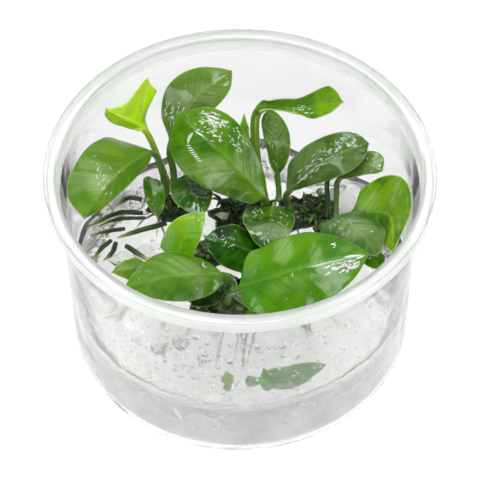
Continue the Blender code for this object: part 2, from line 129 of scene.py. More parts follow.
# Thick roots: three points from beside the rhizome to the tip, and the radius
ROOTS = (
    ((-24.9, 21.8, 26), (-28.5, 22, 26.3), (-31, 19.8, 26), 0.7),
    ((-24.6, 17.4, 25.8), (-31, 17, 26.2), (-39, 12.2, 26), 0.65),
    ((-24, 15.6, 26), (-30.5, 15.2, 26), (-36, 13.2, 25.6), 0.5),
    ((-18.6, 13.6, 26.2), (-25, 11.2, 26.4), (-31, 9, 26), 0.7),
    ((-29, 12.2, 25.8), (-33, 11.4, 25.8), (-37.5, 10, 25.6), 0.55),
    ((-32.4, 8.2, 26), (-34.8, 5.6, 25.8), (-36.8, 2, 25.6), 0.6),
    ((-31.2, 7.4, 26), (-32, 4.6, 25.6), (-34.2, 2, 25.4), 0.65),
    ((-28.6, 6.4, 26), (-26.2, 4.4, 26), (-22, 1.2, 25.6), 0.7),
    ((-15.8, 0, 25.8), (-20, -3, 26), (-25, -5, 25.6), 0.6),
    ((16.2, 17, 26), (19.5, 20.5, 26.6), (21, 25.5, 26.2), 0.6),
    ((30, 8.6, 26), (33.5, 10, 26.4), (37.5, 9, 26), 0.6),
    ((8.8, -17, 25.6), (13.5, -18.5, 25.6), (18, -21.5, 25.4), 0.6),
    ((-8.9, -13.5, 25.6), (-13, -16.5, 25.6), (-19, -18, 25.4), 0.6),
)

# Blade outlines: share of the greatest half width at shares of the blade's length
OVATE = ((0, 0), (0.06, 0.42), (0.2, 0.82), (0.42, 1), (0.66, 0.86), (0.87, 0.42), (1, 0))
FULL = ((0, 0), (0.04, 0.48), (0.16, 0.86), (0.38, 1), (0.64, 0.9), (0.87, 0.48), (1, 0))
ROUND = ((0, 0), (0.04, 0.58), (0.16, 0.88), (0.38, 1), (0.64, 0.92), (0.87, 0.5), (1, 0))
BLUNT = ((0, 0), (0.1, 0.36), (0.3, 0.78), (0.56, 1), (0.8, 0.93), (0.94, 0.58), (1, 0))
HEART = ((0, 0.3), (0.03, 0.78), (0.14, 0.98), (0.32, 1), (0.6, 0.82), (0.85, 0.4), (1, 0))
ELLIPTIC = ((0, 0), (0.08, 0.36), (0.25, 0.78), (0.48, 1), (0.72, 0.87), (0.9, 0.45), (1, 0))
SLIM = ((0, 0), (0.12, 0.42), (0.24, 0.78), (0.42, 1), (0.64, 0.83), (0.88, 0.37), (1, 0))
LOBED = ((0, 0.5), (0.04, 0.92), (0.14, 0.96), (0.34, 1), (0.6, 0.87), (0.8, 0.72), (0.93, 0.42), (1, 0))
SPOON = ((0, 0), (0.06, 0.3), (0.22, 0.63), (0.42, 0.9), (0.6, 1), (0.77, 0.92), (0.9, 0.65), (1, 0))
TAIL = ((0, 0), (0.12, 0.27), (0.24, 0.54), (0.4, 0.88), (0.58, 1), (0.77, 0.88), (0.9, 0.57), (1, 0))
WING = ((0, 0.42), (0.05, 0.64), (0.13, 0.82), (0.3, 0.92), (0.5, 1), (0.59, 0.46), (0.7, 0.24), (1, 0))
FLARED_FAR = ((0, 0.42), (0.2, 0.46), (0.45, 0.54), (0.64, 0.74), (0.84, 1), (0.93, 0.7), (1, 0))
FLARED_NEAR = ((0, 0.45), (0.3, 0.45), (0.52, 0.52), (0.68, 1), (0.82, 0.76), (0.94, 0.38), (1, 0))


class Half(NamedTuple):
    """One half of a blade: its greatest width, how far it lifts above level in degrees, its outline, and how
    much further it bends towards its edge at the blade's base and past its middle."""
    width: float
    lift: float
    outline: tuple = OVATE
    curl_base: float = 0.0
    curl_tip: float = 0.0


class Leaf(NamedTuple):
    """A leaf: petiole from foot by way of via to base, then a blade along a midrib from base to tip.

    bow is how far the midrib's middle stands off the straight line. left and right are the blade's halves,
    seen from the base towards the tip. main and dark are its greens, as sRGB shares of 255.
    """
    name: str
    foot: tuple
    via: tuple
    base: tuple
    tip: tuple
    bow: tuple
    left: Half
    right: Half
    main: tuple
    dark: tuple
    petiole: float = 0.9


LEAVES = tuple(Leaf("leaf_" + row[0], *row[1:6], Half(*row[6]), Half(*row[7]), *row[8:]) for row in (
    # back_left's greyed greens paint in part the grey sheen of its wet skin
    ("back_left", (-16.2, 20.6, 28.3), (-16.8, 23.5, 35), (-17.3, 26.5, 42), (-2, 37.2, 57.4), (-1.4, 0.2, 3.4),
     (7.5, 24, SLIM), (5.4, -36, TAIL), (97, 128, 48), (73, 108, 30)),
    ("folded_young", (-18, 23.6, 28.3), (-20.3, 24.4, 37.8), (-23.6, 26.2, 47), (-33, 24.2, 57.4), (0, 0, 0.5),
     (2.9, -92, BLUNT), (11.3, 55, WING), (171, 185, 67), (170, 228, 3), 0.8),
    ("left", (-19, 20.4, 28.3), (-19.6, 22, 36.5), (-22.6, 21, 44.6), (-37.5, -8.5, 54), (-1.6, -0.8, 2.8),
     (4.2, -50), (10.4, 12, LOBED), (98, 136, 42), (70, 114, 3), 0.8),
    ("hanging", (-22.6, 19.9, 28.2), (-23.8, 21.6, 33), (-22.6, 19.5, 36), (-20.6, 11.5, 31), (0, 0, 1),
     (2.8, 0, ROUND), (2.3, -15, ROUND), (75, 131, 3), (48, 94, 3), 0.7),
    ("round", (-12.6, 21.2, 28.3), (-12.8, 21.6, 33), (-13.5, 19.5, 37), (-9, 6.5, 38), (-0.5, -1, 1.5),
     (5.3, -10, FULL), (5.1, 0, FULL), (57, 100, 3), (29, 77, 3)),
    ("middle", (6.5, 15.5, 28.6), (6, 13.5, 33), (6, 12, 38), (-15.4, 25.8, 54), (0.2, -2.6, 4),
     (10.3, -42, SPOON), (9.2, 4, SPOON), (86, 130, 3), (37, 91, 3)),
    ("heart", (10.2, 14.4, 28.6), (9.4, 13, 32), (8.2, 10.6, 35), (5.4, -5.4, 39), (0.5, -1, 2),
     (5.8, -8, HEART), (7, -4, HEART), (71, 121, 3), (26, 67, 3)),
    ("upright", (9.8, 18.9, 28.6), (9.8, 21, 31), (9.4, 23, 34), (7.6, 33.4, 47.6), (0.7, -1, 1.5),
     (3.2, -20, BLUNT), (3.5, 15, ELLIPTIC), (93, 138, 33), (42, 87, 3), 0.75),
    ("rolled", (5.6, 19.8, 28.6), (4, 26, 40), (4.8, 31.2, 49.4), (25.5, 27, 57), (-0.5, 0, -1),
     (4.7, 35, FLARED_FAR, 110, 0), (3.6, -5, FLARED_NEAR, 130, -20), (107, 151, 3), (55, 100, 3), 1.15),
    ("narrow", (2.2, 20.6, 28.4), (2.3, 23.5, 33), (1.9, 27, 38), (1.1, 31, 48), (-0.5, 0, 0),
     (1.5, 10), (1.4, 30), (147, 223, 65), (106, 180, 3), 0.7),
    # back_right's greyed greens paint in part the grey sheen of its wet skin
    ("back_right", (12.4, 16.6, 28.6), (12.2, 17.2, 31), (12.3, 17.5, 34), (32, 19.5, 50), (0.3, -0.5, 4),
     (6.4, 26, LOBED), (5.2, -45, TAIL), (93, 124, 61), (53, 88, 3), 0.8),
    ("under", (22, 13.8, 28.6), (22, 15.9, 33.2), (21.9, 18.6, 36.5), (25.4, 27, 42), (0, 0, 1),
     (2.8, 0), (2.2, 0), (50, 80, 10), (28, 56, 4), 0.65),
    ("behind", (24.2, 12, 28.6), (24.2, 15.4, 34), (24.9, 18.8, 37.2), (35.4, 14.8, 45), (0.5, 0.5, 3.4),
     (3.8, 25, BLUNT), (2.7, -40, ELLIPTIC), (95, 126, 50), (90, 124, 48), 0.7),
    ("right", (27.6, 9.6, 28.4), (26.6, 8.2, 33), (25.6, 5.6, 37.5), (36.8, -16, 50.5), (4.9, 4, 3.2),
     (9.8, 56, ELLIPTIC), (4.8, -50, FULL), (110, 158, 3), (35, 86, 3)),
    # side's greyed greens paint in part the grey sheen of its wet skin
    ("side", (23.7, 9, 28.4), (23, 5, 35.5), (24.5, 0.7, 43.3), (33, -17.1, 50.3), (0.3, -0.3, 2),
     (7, -12, HEART), (6.8, -16, HEART), (90, 122, 60), (37, 84, 3)),
    ("low_right", (28.5, 4.6, 28), (29.4, 1, 33), (30.4, -4, 37), (34.6, -14.4, 42), (0, -0.5, 1),
     (2.8, 8), (2.8, -8), (124, 200, 24), (90, 166, 6)),
    ("young_front", (-12.5, 0.5, 28.4), (-15, -5, 33.5), (-15.8, -9.4, 38), (-8.6, -4.5, 52), (-1, 0, 1),
     (5.2, 24, HEART), (4, -20, FULL), (132, 180, 3), (92, 160, 3)),
    # dark's near-black greens paint in part the deep shade it lies in
    ("dark", (-6.5, 4.5, 28.4), (2, 1.5, 31), (5, -3.4, 34), (-8.8, -1.6, 38.5), (0, -0.5, 1.5),
     (6, -40, FULL), (6.4, 0, FULL), (45, 104, 3), (6, 40, 3)),
    ("front_left", (-3, -13.6, 28.4), (-1.6, -14.5, 37), (-4.5, -18, 44), (-27.5, -27.5, 51), (0.5, 0.5, 1.5),
     (6.4, -35), (8.8, -8), (88, 130, 29), (52, 101, 3)),
    ("left_tip", (-6.2, -11.4, 28.4), (-14, -12, 36), (-20.5, -13, 40.5), (-30.8, -19.4, 47), (0.5, -0.5, 1.5),
     (3.4, -40), (3.2, 5), (106, 140, 36), (82, 119, 33)),
    ("front_right", (2.6, -14.6, 28.4), (-1.2, -19, 38), (0.2, -22.6, 45), (30.8, -19.5, 54), (0, -1, 2.5),
     (13.7, -14, ROUND), (10, -22, FULL), (86, 138, 3), (56, 115, 3)),
    ("under_front", (1.4, -19.6, 28.2), (2.2, -22, 32), (3, -22, 35.5), (16.5, -29.5, 40.5), (-0.5, -0.5, 1),
     (3.2, 10), (3.2, -40), (96, 156, 30), (70, 130, 18)),
    # dark_front's near-black greens paint in part the shade under front_left
    ("dark_front", (-1.6, -10.6, 28.4), (-2.6, -10.8, 30.6), (-4.2, -12, 33), (-12, -22.5, 38), (0.5, -0.5, 1),
     (3, -40), (3.2, 10), (32, 74, 3), (10, 44, 3)),
    ("on_wall", (2.6, -33.4, 22.9), (3.4, -36.4, 26.4), (4.8, -38.9, 30.3), (20.4, -35.6, 32.4), (0.1, -1.5, 0.4),
     (4.4, 88, FULL), (3.8, -88, FULL), (104, 168, 20), (78, 144, 10)),
    ("low_front", (-3, -35, 22.6), (-2.9, -36.4, 24.6), (-2.9, -37.4, 27), (-2.9, -38.3, 33), (0, -0.2, 0),
     (1.6, 0), (1.6, 0), (128, 186, 6), (98, 158, 4), 0.7),
))
YOUNG_LEAVES = ("leaf_folded_young", "leaf_young_front", "leaf_narrow", "leaf_rolled")

# Dark clumps of old leaf bases and short roots on the gel, their near black painting in part the shade among the
# crowns: x, y, half width, half depth and height
MOUNDS = (
    (15.5, 18.5, 8.5, 6, 2.6), (0.5, 18.5, 8, 6.5, 2.6), (-18, 20, 5.5, 4, 2.4),
    (-4, -9, 9, 7, 2.4), (-9.5, 5, 5.5, 4.5, 2.2), (23.5, 8.5, 6, 5.5, 2.6), (6, 3, 8, 7, 2),
)

# Large drops on the cup's inner wall: bearing in degrees, height and radius
WALL_DROPS = (
    (-104.2, 49.8, 0.8), (-100.3, 48.2, 0.65), (-108.3, 45.2, 0.75), (-93, 48.2, 0.65), (-89.4, 47.5, 0.75),
    (-86.8, 48.2, 0.55), (-84.5, 47.5, 0.8), (-76.4, 46.5, 0.95), (-76.3, 42.5, 0.8), (-67.4, 43, 0.6),
    (-101.2, 43.5, 0.75), (-96.8, 43.8, 0.55), (-93.1, 41.8, 0.95), (-108.5, 37.5, 0.6), (-105.6, 38, 0.5),
    (-102.7, 39, 0.75), (-113.6, 49.8, 0.6), (-121.8, 39.5, 0.45), (-112.7, 42.8, 0.4), (-114.9, 36.8, 0.5),
    (-97, 39, 0.55), (-43.7, 47.2, 0.8), (-109.7, 32.5, 0.5), (-71.7, 45.8, 0.4),
)

# Flat pockets of air between the gel and the wall, solid white as a painted shine: width, and spots by bearing in
# degrees and height
STREAKS = (
    (0.8, ((-126.4, 22.2), (-121.2, 22.2), (-113.7, 21.5), (-103.3, 21.5), (-93, 21))),
    (1.6, ((-112.6, 19.2), (-110, 14.8))),
    (0.8, ((-104.8, 20), (-99, 17.5), (-93.6, 21))),
    (1.2, ((-70.5, 21.5), (-63.1, 19.2))),
    (0.7, ((-88.7, 22.4), (-82.7, 21.8))),
    (0.6, ((-58.4, 18.5), (-50, 17), (-41.4, 18.5))),
    (0.7, ((-134.5, 21.2), (-128.5, 21.6))),
    (0.5, ((-98, 14), (-92, 12.6), (-85, 13.4))),
)

# Broken lumps of milky gel: middle and half sizes
MILKY_CHIPS = (
    ((-29.5, 3.5, 24.6), (4, 3.2, 1.8)), ((-23.5, 5, 24.8), (3.6, 3, 1.8)),
    ((-34.5, 9.5, 24.6), (3, 2.8, 1.8)), ((21.4, 23.5, 26.4), (2.4, 1.6, 2)),
    ((-35, 18.5, 25), (3.4, 2.4, 1.8)),
)

# Lines of water on a leaf, half white as a painted glint: width, and spots by share of the blade's length and of
# its half's width
WET_LINES = (
    ("middle", 0.95, ((0.79, -0.13), (0.79, -0.27), (0.77, -0.43))),
    ("middle", 0.5, ((0.79, -0.07), (0.74, -0.04), (0.7, -0.02))),
    ("middle", 0.45, ((0.78, -0.02), (0.77, 0.07))),
    ("front_right", 0.65, ((0.8, -0.03), (0.87, -0.02), (0.95, 0.03))),
    ("front_left", 0.4, ((0.15, 0.7), (0.17, 0.5), (0.15, 0.37))),
)

# Patches of short wet dashes on a leaf, half white as painted glints: middle and half size in the same shares,
# number and width
SPECKLES = (
    ("back_right", 0.3, -0.15, 0.12, 0.25, 18, 0.24), ("back_right", 0.52, -0.3, 0.14, 0.3, 24, 0.24),
    ("back_right", 0.74, -0.42, 0.12, 0.3, 22, 0.24), ("back_left", 0.27, -0.45, 0.09, 0.4, 16, 0.24),
    ("left", 0.5, 0.3, 0.14, 0.4, 12, 0.24), ("dark", 0.65, 0.1, 0.2, 0.3, 12, 0.24),
    ("heart", 0.28, -0.6, 0.15, 0.3, 9, 0.24), ("heart", 0.2, 0.5, 0.12, 0.3, 8, 0.24),
    ("middle", 0.72, 0.4, 0.12, 0.4, 24, 0.26), ("middle", 0.84, 0.68, 0.04, 0.16, 7, 0.34),
    ("middle", 0.72, 0.55, 0.07, 0.22, 12, 0.32), ("front_right", 0.71, 0.22, 0.045, 0.13, 6, 0.5),
    ("front_right", 0.81, 0.3, 0.05, 0.2, 10, 0.55), ("front_right", 0.88, 0.35, 0.03, 0.26, 7, 0.5),
    ("front_right", 0.765, -0.56, 0.015, 0.12, 3, 0.4), ("middle", 0.5, 0.6, 0.12, 0.25, 12, 0.24),
    ("upright", 0.5, 0, 0.3, 0.5, 6, 0.24), ("rolled", 0.55, 0.2, 0.15, 0.5, 10, 0.24),
    ("side", 0.3, 0.3, 0.2, 0.5, 6, 0.24), ("round", 0.5, -0.4, 0.3, 0.4, 6, 0.24),
)

# Painted sheen: pale patches in a leaf's colour where its wet skin reflects light; middle and half size in the
# same shares, and density
PAINTED_SHEENS = (
    ("front_right", 0.35, -0.63, 0.07, 0.37, 0.34), ("front_right", 0.61, -0.23, 0.05, 0.4, 0.34),
    ("front_right", 0.36, 0.3, 0.16, 0.17, 0.14), ("middle", 0.44, -0.5, 0.15, 0.4, 0.26),
    ("middle", 0.31, 0.6, 0.13, 0.67, 0.16), ("heart", 0.62, -0.2, 0.21, 0.87, 0.3),
    ("left", 0.56, 0.2, 0.16, 0.3, 0.22), ("front_left", 0.39, 0.33, 0.18, 0.43, 0.2),
    ("young_front", 0.35, -0.67, 0.15, 0.3, 0.3), ("right", 0.26, -0.37, 0.1, 0.33, 0.3),
    ("side", 0.36, -0.1, 0.23, 0.63, 0.28), ("upright", 0.67, -0.07, 0.29, 1, 0.22),
    ("back_left", 0.51, 0.23, 0.21, 0.73, 0.18),
)


class CupSettings(bpy.types.PropertyGroup):
    """What a user may change about the cup and its gel."""
    tint: FloatVectorProperty(
        name="Plastic tint", description="Colour of the cup's plastic", subtype="COLOR",
        default=(0.81, 0.815, 0.82), min=0.0, max=1.0)
    milkiness: FloatProperty(
        name="Milkiness", description="Share of the wall that scatters light; the rim scatters more",
        subtype="FACTOR", default=0.04, min=0.0, max=0.2)
    gel_tint: FloatVectorProperty(
        name="Gel tint", description="Colour of the growing gel", subtype="COLOR",
        default=(0.985, 0.99, 0.965), min=0.0, max=1.0)
    wall_drops: IntProperty(
        name="Drops on the wall", description="How many drops of water hang on the cup's inner wall",
        default=560, min=0, max=900)


class PlantSettings(bpy.types.PropertyGroup):
    """What a user may change about the plants."""
    blade_thickness: FloatProperty(
        name="Blade thickness", description="Thickness of a leaf's blade", unit="LENGTH",
        default=0.5 * MM, min=0.1 * MM, max=2 * MM)
    waviness: FloatProperty(
        name="Waviness", description="How far a leaf's edge waves up and down", unit="LENGTH",
        default=0.45 * MM, min=0.0, max=3 * MM)
    wetness: FloatProperty(
        name="Wetness", description="How wet the leaves are", subtype="FACTOR", default=0.8, min=0.0, max=1.0)
    rhizome_colour: FloatVectorProperty(
        name="Rhizome colour", description="Colour of the creeping stems", subtype="COLOR",
        default=(0.05, 0.085, 0.016), min=0.0, max=1.0)
    root_colour: FloatVectorProperty(
        name="Root colour", description="Colour of the roots", subtype="COLOR",
        default=(0.035, 0.075, 0.01), min=0.0, max=1.0)


class StageSettings(bpy.types.PropertyGroup):
    """What a user may change about the floor and the light."""
    floor_colour: FloatVectorProperty(
        name="Floor colour", description="Colour of the floor", subtype="COLOR",
        default=(0.1, 0.1, 0.1), min=0.0, max=1.0)
    key_glow: FloatProperty(
        name="Key light", description="Brightness of the key light's face", default=10.0, min=0.0, max=100.0)
    sky_glow: FloatProperty(
        name="Surroundings", description="Brightness of the surroundings", default=0.25, min=0.0, max=5.0)


def linear(*colour):
    """Scene-linear colour of an sRGB one given as shares of 255."""
    return tuple((c / 255 / 12.92) if c <= 10 else ((c / 255 + 0.055) / 1.055) ** 2.4 for c in colour)


def scaled(colour, factor):
    """A lighter or darker colour."""
    return tuple(c * factor for c in colour)


class Wire:
    """An output socket that can be used in sums; each sum adds its Math node."""

    def __init__(self, finish, socket):
        self.finish = finish
        self.socket = socket

    def maths(self, operation, *values):
        """The result of a Math node on these values."""
        return self.finish.node("ShaderNodeMath", {"operation": operation}, dict(enumerate(values)))

    def __add__(self, other):
        return self.maths("ADD", self, other)

    def __sub__(self, other):
        return self.maths("SUBTRACT", self, other)

    def __rsub__(self, other):
        return self.maths("SUBTRACT", other, self)

    def __mul__(self, other):
        return self.maths("MULTIPLY", self, other)

    def __abs__(self):
        return self.maths("ABSOLUTE", self)

    __radd__, __rmul__ = __add__, __mul__

    def below(self, low, high):
        """1 where the value is under low, falling smoothly to 0 at high."""
        values = {"Value": self, "From Min": low, "From Max": high, "To Min": 1.0, "To Max": 0.0}
        return self.finish.node("ShaderNodeMapRange", {"interpolation_type": "SMOOTHSTEP"}, values)

    def above(self, low, high):
        """0 where the value is under low, rising smoothly to 1 at high."""
        return 1.0 - self.below(low, high)


class Finish:
    """A material in the making, around one Principled shader."""

    def __init__(self, name, **constants):
        self.material = bpy.data.materials.new(name)
        self.material.use_nodes = True
        self.tree = self.material.node_tree
        self.shader = self.tree.nodes["Principled BSDF"]
        self.fill(self.shader, constants)

    def put(self, socket, value):
        """Give a socket a value or a link."""
        if isinstance(value, Wire):
            self.tree.links.new(value.socket, socket)
        elif socket.type == "RGBA":
            socket.default_value = (*value[:3], 1.0)
        else:
            socket.default_value = value

    def fill(self, shader, sockets):
        """Give values or links to a shader's sockets, named with underscores."""
        for socket, value in sockets.items():
            self.put(shader.inputs[socket.replace("_", " ")], value)

    def node(self, kind, settings=None, values=None, output=0):
        """Add a node with its settings and its sockets' values or links; returns one of its outputs."""
        made = self.tree.nodes.new(kind)
        for key, value in (settings or {}).items():
            if key == "stops":
                ramp = made.color_ramp
                for place, colour in value[1:-1]:
                    ramp.elements.new(place)
                for element, (place, colour) in zip(ramp.elements, value):
                    element.position = place
                    element.color = (*colour, 1.0)
            else:
                setattr(made, key, value)
        for key, value in (values or {}).items():
            self.put(made.inputs[key], value)
        return Wire(self, made.outputs[output])

    def stored(self, name):
        """A number stored on the mesh."""
        return self.node("ShaderNodeAttribute", {"attribute_name": name}, output="Fac")

    def noise(self, vector, scale, detail, roughness=0.5):
        """Soft noise from 0 to 1."""
        values = {"Vector": vector, "Scale": scale, "Detail": detail, "Roughness": roughness}
        return self.node("ShaderNodeTexNoise", values=values)

    def cloud(self, per_metre, detail=3.0, roughness=0.5, offset=0.0):
        """Soft noise over the object with this many waves per metre."""
        place = self.node("ShaderNodeTexCoord", output="Object")
        moved = self.node("ShaderNodeVectorMath", {"operation": "ADD"}, {0: place, 1: (offset,) * 3})
        return self.noise(moved, per_metre, detail, roughness)

    def mixed(self, share, first, second):
        """One colour or another, by share."""
        return self.node("ShaderNodeMix", {"data_type": "RGBA"}, {0: share, 6: first, 7: second}, output=2)

    def relief(self, height, depth):
        """A normal from a height between 0 and 1, for a depth in metres."""
        return self.node("ShaderNodeBump", values={"Height": height, "Distance": depth, "Strength": 1.0})

    def veiled(self, share, **constants):
        """Cover the main shader by share with a second one that holds these constants."""
        veil = self.tree.nodes.new("ShaderNodeBsdfPrincipled")
        self.fill(veil, constants)
        mix = self.tree.nodes.new("ShaderNodeMixShader")
        self.put(mix.inputs[0], share)
        self.tree.links.new(self.shader.outputs[0], mix.inputs[1])
        self.tree.links.new(veil.outputs[0], mix.inputs[2])
        self.tree.links.new(mix.outputs[0], self.tree.nodes["Material Output"].inputs["Surface"])

    def done(self, **sockets):
        """Fill the sockets that change over the surface; returns the material."""
        self.fill(self.shader, sockets)
        return self.material


def plastic_finish(settings):
    """See-through plastic, faintly uneven as moulded, with a milky veil that is thicker at the rim."""
    finish = Finish("moulded_milky_plastic", Transmission_Weight=1.0, IOR=1.45)
    wave = finish.cloud(60, 2)
    grain = finish.cloud(900, 2, offset=3.0)
    # less tint where wall is low; at the front's far left and right this is a painted brightening of the body's
    # sides
    colour = finish.mixed(finish.stored("wall") * (0.8 + wave * 0.4), WHITE, settings.tint)
    mist = finish.cloud(120, offset=7.0).above(0.4, 0.7)
    share = (finish.stored("milk") + mist * finish.stored("mist")) * settings.milkiness
    hue = finish.cloud(90, offset=11.0).above(0.35, 0.65)
    finish.veiled(share, Base_Color=finish.mixed(hue, (0.86, 0.92, 0.84), (0.95, 0.93, 0.98)), Roughness=0.3,
                  Subsurface_Weight=1.0, Subsurface_Radius=WHITE, Subsurface_Scale=0.8 * MM)
    return finish.done(Base_Color=colour, Roughness=0.04 + grain * 0.04,
                       Normal=finish.relief(wave * 0.8 + grain * 0.02, 0.4 * MM))


def gel_finish(name, tint, clearness, frost=0.02, bed=False):
    """Growing gel with a wet, softly dented skin; the less clear, the milkier.

    The bed has a pitted underside and a milky skin where it meets the wall.
    """
    milk = {"Subsurface_Radius": (1.0, 1.0, 0.9)}
    finish = Finish(name, Transmission_Weight=clearness, IOR=1.34, Subsurface_Weight=0.9,
                    Subsurface_Scale=1.5 * MM, **milk)
    dents = finish.cloud(260, 4, 0.6)
    rough = dents * 0.06 + frost
    if bed:
        rough = rough + finish.stored("pits") * 0.7
        curds = finish.cloud(90, 4, 0.6, 2.0).above(0.3, 0.75)
        finish.veiled(finish.stored("skin") * (0.35 + curds * 0.5), Base_Color=(0.93, 0.94, 0.9),
                      Roughness=0.3, Subsurface_Weight=1.0, Subsurface_Scale=2.0 * MM, **milk)
    return finish.done(Base_Color=finish.mixed(dents, scaled(tint, 0.95), tint), Roughness=rough,
                       Normal=finish.relief(dents, 0.4 * MM))


def tangle_finish():
    """Old leaf bases, short roots and crumbs, from near black through olive and brown to cream; the near black
    paints in part the shade among the crowns.
    """
    finish = Finish("crown_tangle_skin", IOR=1.42, Coat_Roughness=0.1)
    grain = finish.cloud(1100, 3, 0.6)
    shade = finish.stored("tone") + (grain - 0.5) * 0.22
    stops = ((0.0, linear(12, 34, 4)), (0.35, linear(36, 76, 10)), (0.6, linear(92, 124, 26)),
             (0.8, linear(112, 96, 52)), (1.0, linear(228, 220, 184)))
    base = finish.node("ShaderNodeValToRGB", {"stops": stops}, {"Fac": shade})
    return finish.done(Base_Color=base, Roughness=0.3 + grain * 0.3, Coat_Weight=0.1 + grain * 0.3,
                       Normal=finish.relief(grain, 0.15 * MM))


def water_finish(name, clearness):
    """Water with a bright wet skin; the less clear, the more of it is plain white, a painted glint."""
    finish = Finish(name, Transmission_Weight=clearness, IOR=1.33, Coat_Weight=1.0, Coat_IOR=1.7,
                    Coat_Roughness=0.03, Base_Color=WHITE)
    ripple = finish.cloud(1500, 1)
    return finish.done(Roughness=0.01 + ripple * 0.04, Normal=finish.relief(ripple, 0.03 * MM))


def leaf_finish(leaf, wetness):
    """Waxy leaf skin: faint midrib and veins, pale edge, darker flecks, paler underside, a wet film and patches
    of painted sheen.
    """
    finish = Finish(leaf.name + "_skin", Subsurface_Weight=0.15, Subsurface_Radius=(0.5, 1.0, 0.1),
                    Subsurface_Scale=0.6 * MM, Coat_Roughness=0.06, Coat_IOR=1.6, IOR=1.45,
                    Specular_IOR_Level=0.1)
    along, across, from_rib, from_edge = map(finish.stored, ("along", "across", "from_rib", "from_edge"))
    main, dark = linear(*leaf.main), linear(*leaf.dark)
    pale = tuple(0.45 * a + 0.55 * b for a, b in zip(main, linear(205, 220, 150)))
    patches = finish.cloud(110)
    flecks = finish.cloud(1400, 3, 0.65)
    arms = (along - abs(across) * 0.22) * 44.0
    place = finish.node("ShaderNodeCombineXYZ", values={0: arms * 0.7, 1: across * 1.1, 2: main[1] * 90})
    strands = finish.noise(place, 1.0, 3.0)
    vein = arms.maths("SINE", arms).above(0.2, 1.0) * along.above(0.1, 0.3) * from_edge.above(0.3, 3.0)
    rib = from_rib.below(0.1, 0.5) * along.below(0.6, 1.0)
    rim = from_edge.below(0.08, 0.3) * along.above(0.0, 0.05)
    colour = finish.mixed(patches.above(0.38, 0.6) * 0.75 + strands.above(0.35, 0.7) * 0.28, dark, main)
    for share, shade in ((flecks.above(0.5, 0.8) * 0.25, dark), (vein * 0.03, pale),
                         (finish.stored("under") * 0.4, pale), (rib * 0.09, pale), (rim * 0.6, pale),
                         # painted sheen: pale grey-green where the wet skin reflects light
                         (finish.stored("haze") * strands.above(0.2, 0.6), linear(166, 190, 132)),
                         (along.below(-0.25, 0.06) * 0.7, scaled(main, 0.8))):
        colour = finish.mixed(share, colour, shade)
    film = finish.cloud(110, offset=5.0).above(0.38, 0.62)
    relief = flecks * 0.06 - vein * 0.12 - rib * 0.12 + patches * 0.9 + strands * 0.4
    return finish.done(Base_Color=colour, Roughness=0.26 + flecks * 0.14 - film * (0.12 * wetness),
                       Coat_Weight=film * wetness, Normal=finish.relief(relief, 0.2 * MM))


def rhizome_finish(colour):
    """Dark green creeping stem with pale scars."""
    finish = Finish("rhizome_bark", IOR=1.45, Coat_Roughness=0.1)
    blotch = finish.cloud(500, 4, 0.6)
    rings = finish.stored("ring")
    base = finish.mixed(blotch.above(0.35, 0.65), scaled(colour, 0.5), colour)
    base = finish.mixed(rings * 0.5, base, tuple(c * 2.6 + 0.02 for c in colour))
    return finish.done(Base_Color=base, Roughness=0.35 + blotch * 0.25, Coat_Weight=blotch * 0.6,
                       Normal=finish.relief(blotch + rings * 0.6, 0.2 * MM))


def root_finish(name, colour, tip):
    """Root skin, dark with a pale growing tip."""
    finish = Finish(name, IOR=1.42, Coat_Roughness=0.08)
    grain = finish.cloud(900, 3, 0.6)
    base = finish.mixed(grain, scaled(colour, 0.5), scaled(colour, 1.4))
    base = finish.mixed(finish.stored("along").above(0.62, 0.95), base, tip)
    return finish.done(Base_Color=base, Roughness=0.3 + grain * 0.2, Coat_Weight=0.2 + grain * 0.3,
                       Normal=finish.relief(grain, 0.1 * MM))


def floor_finish(colour):
    """Matt floor whose even glow, not its grey colour, makes it white: a light table that lights the cup from
    below.
    """
    finish = Finish("pale_paper", IOR=1.3, Emission_Strength=1.0, Emission_Color=WHITE)
    fibre = finish.cloud(700, 4, 0.6)
    return finish.done(Base_Color=finish.mixed(fibre, scaled(colour, 0.99), colour),
                       Roughness=0.8 + fibre * 0.1, Normal=finish.relief(fibre, 0.02 * MM))


def add_mesh(name, form, material, numbers=None, smooth=True):
    """Make an object from points in millimetres and faces, with numbers stored on its points."""
    points, faces = form
    mesh = bpy.data.meshes.new(name)
    mesh.from_pydata([Vector(point) * MM for point in points], [], faces)
    mesh.validate()
    for key, values in (numbers or {}).items():
        mesh.attributes.new(key, "FLOAT", "POINT").data.foreach_set("value", values)
    if smooth:
        mesh.shade_smooth()
    mesh.materials.append(material)
    return add_object(name, mesh)


def add_object(name, data):
    """Put a mesh, a light or a camera into the scene."""
    item = bpy.data.objects.new(name, data)
    bpy.context.scene.collection.objects.link(item)
    return item


def add_piece(name, form, material, slot, *nodes, **options):
    """Make a piece that rides on the plants' body, in place of CAD nodes; its slot is not used."""
    item = add_mesh(name, form, material, **options)
    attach(item, ROOT_BODY)
    if nodes:
        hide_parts(*nodes)


def wobble(x, y, z):
    """Soft noise from -1 to 1 at a point."""
    return noise.noise(Vector((x, y, z)))


def smooth_path(knots, position):
    """Point of a Catmull-Rom curve through the knots, with one whole number per knot."""
    last = len(knots) - 1
    index = min(int(position), last - 1)
    share = position - index
    near, far = knots[index], knots[index + 1]
    before = knots[index - 1] if index > 0 else near * 2 - far
    after = knots[index + 2] if index + 2 <= last else far * 2 - near
    return 0.5 * (2 * near + (far - before) * share + (2 * before - 5 * near + 4 * far - after) * share ** 2
                  + (3 * near - before - 3 * far + after) * share ** 3)


def smooth_points(knots, steps):
    """Points of that curve at equal steps, ends included."""
    return [smooth_path(knots, (len(knots) - 1) * step / steps) for step in range(steps + 1)]


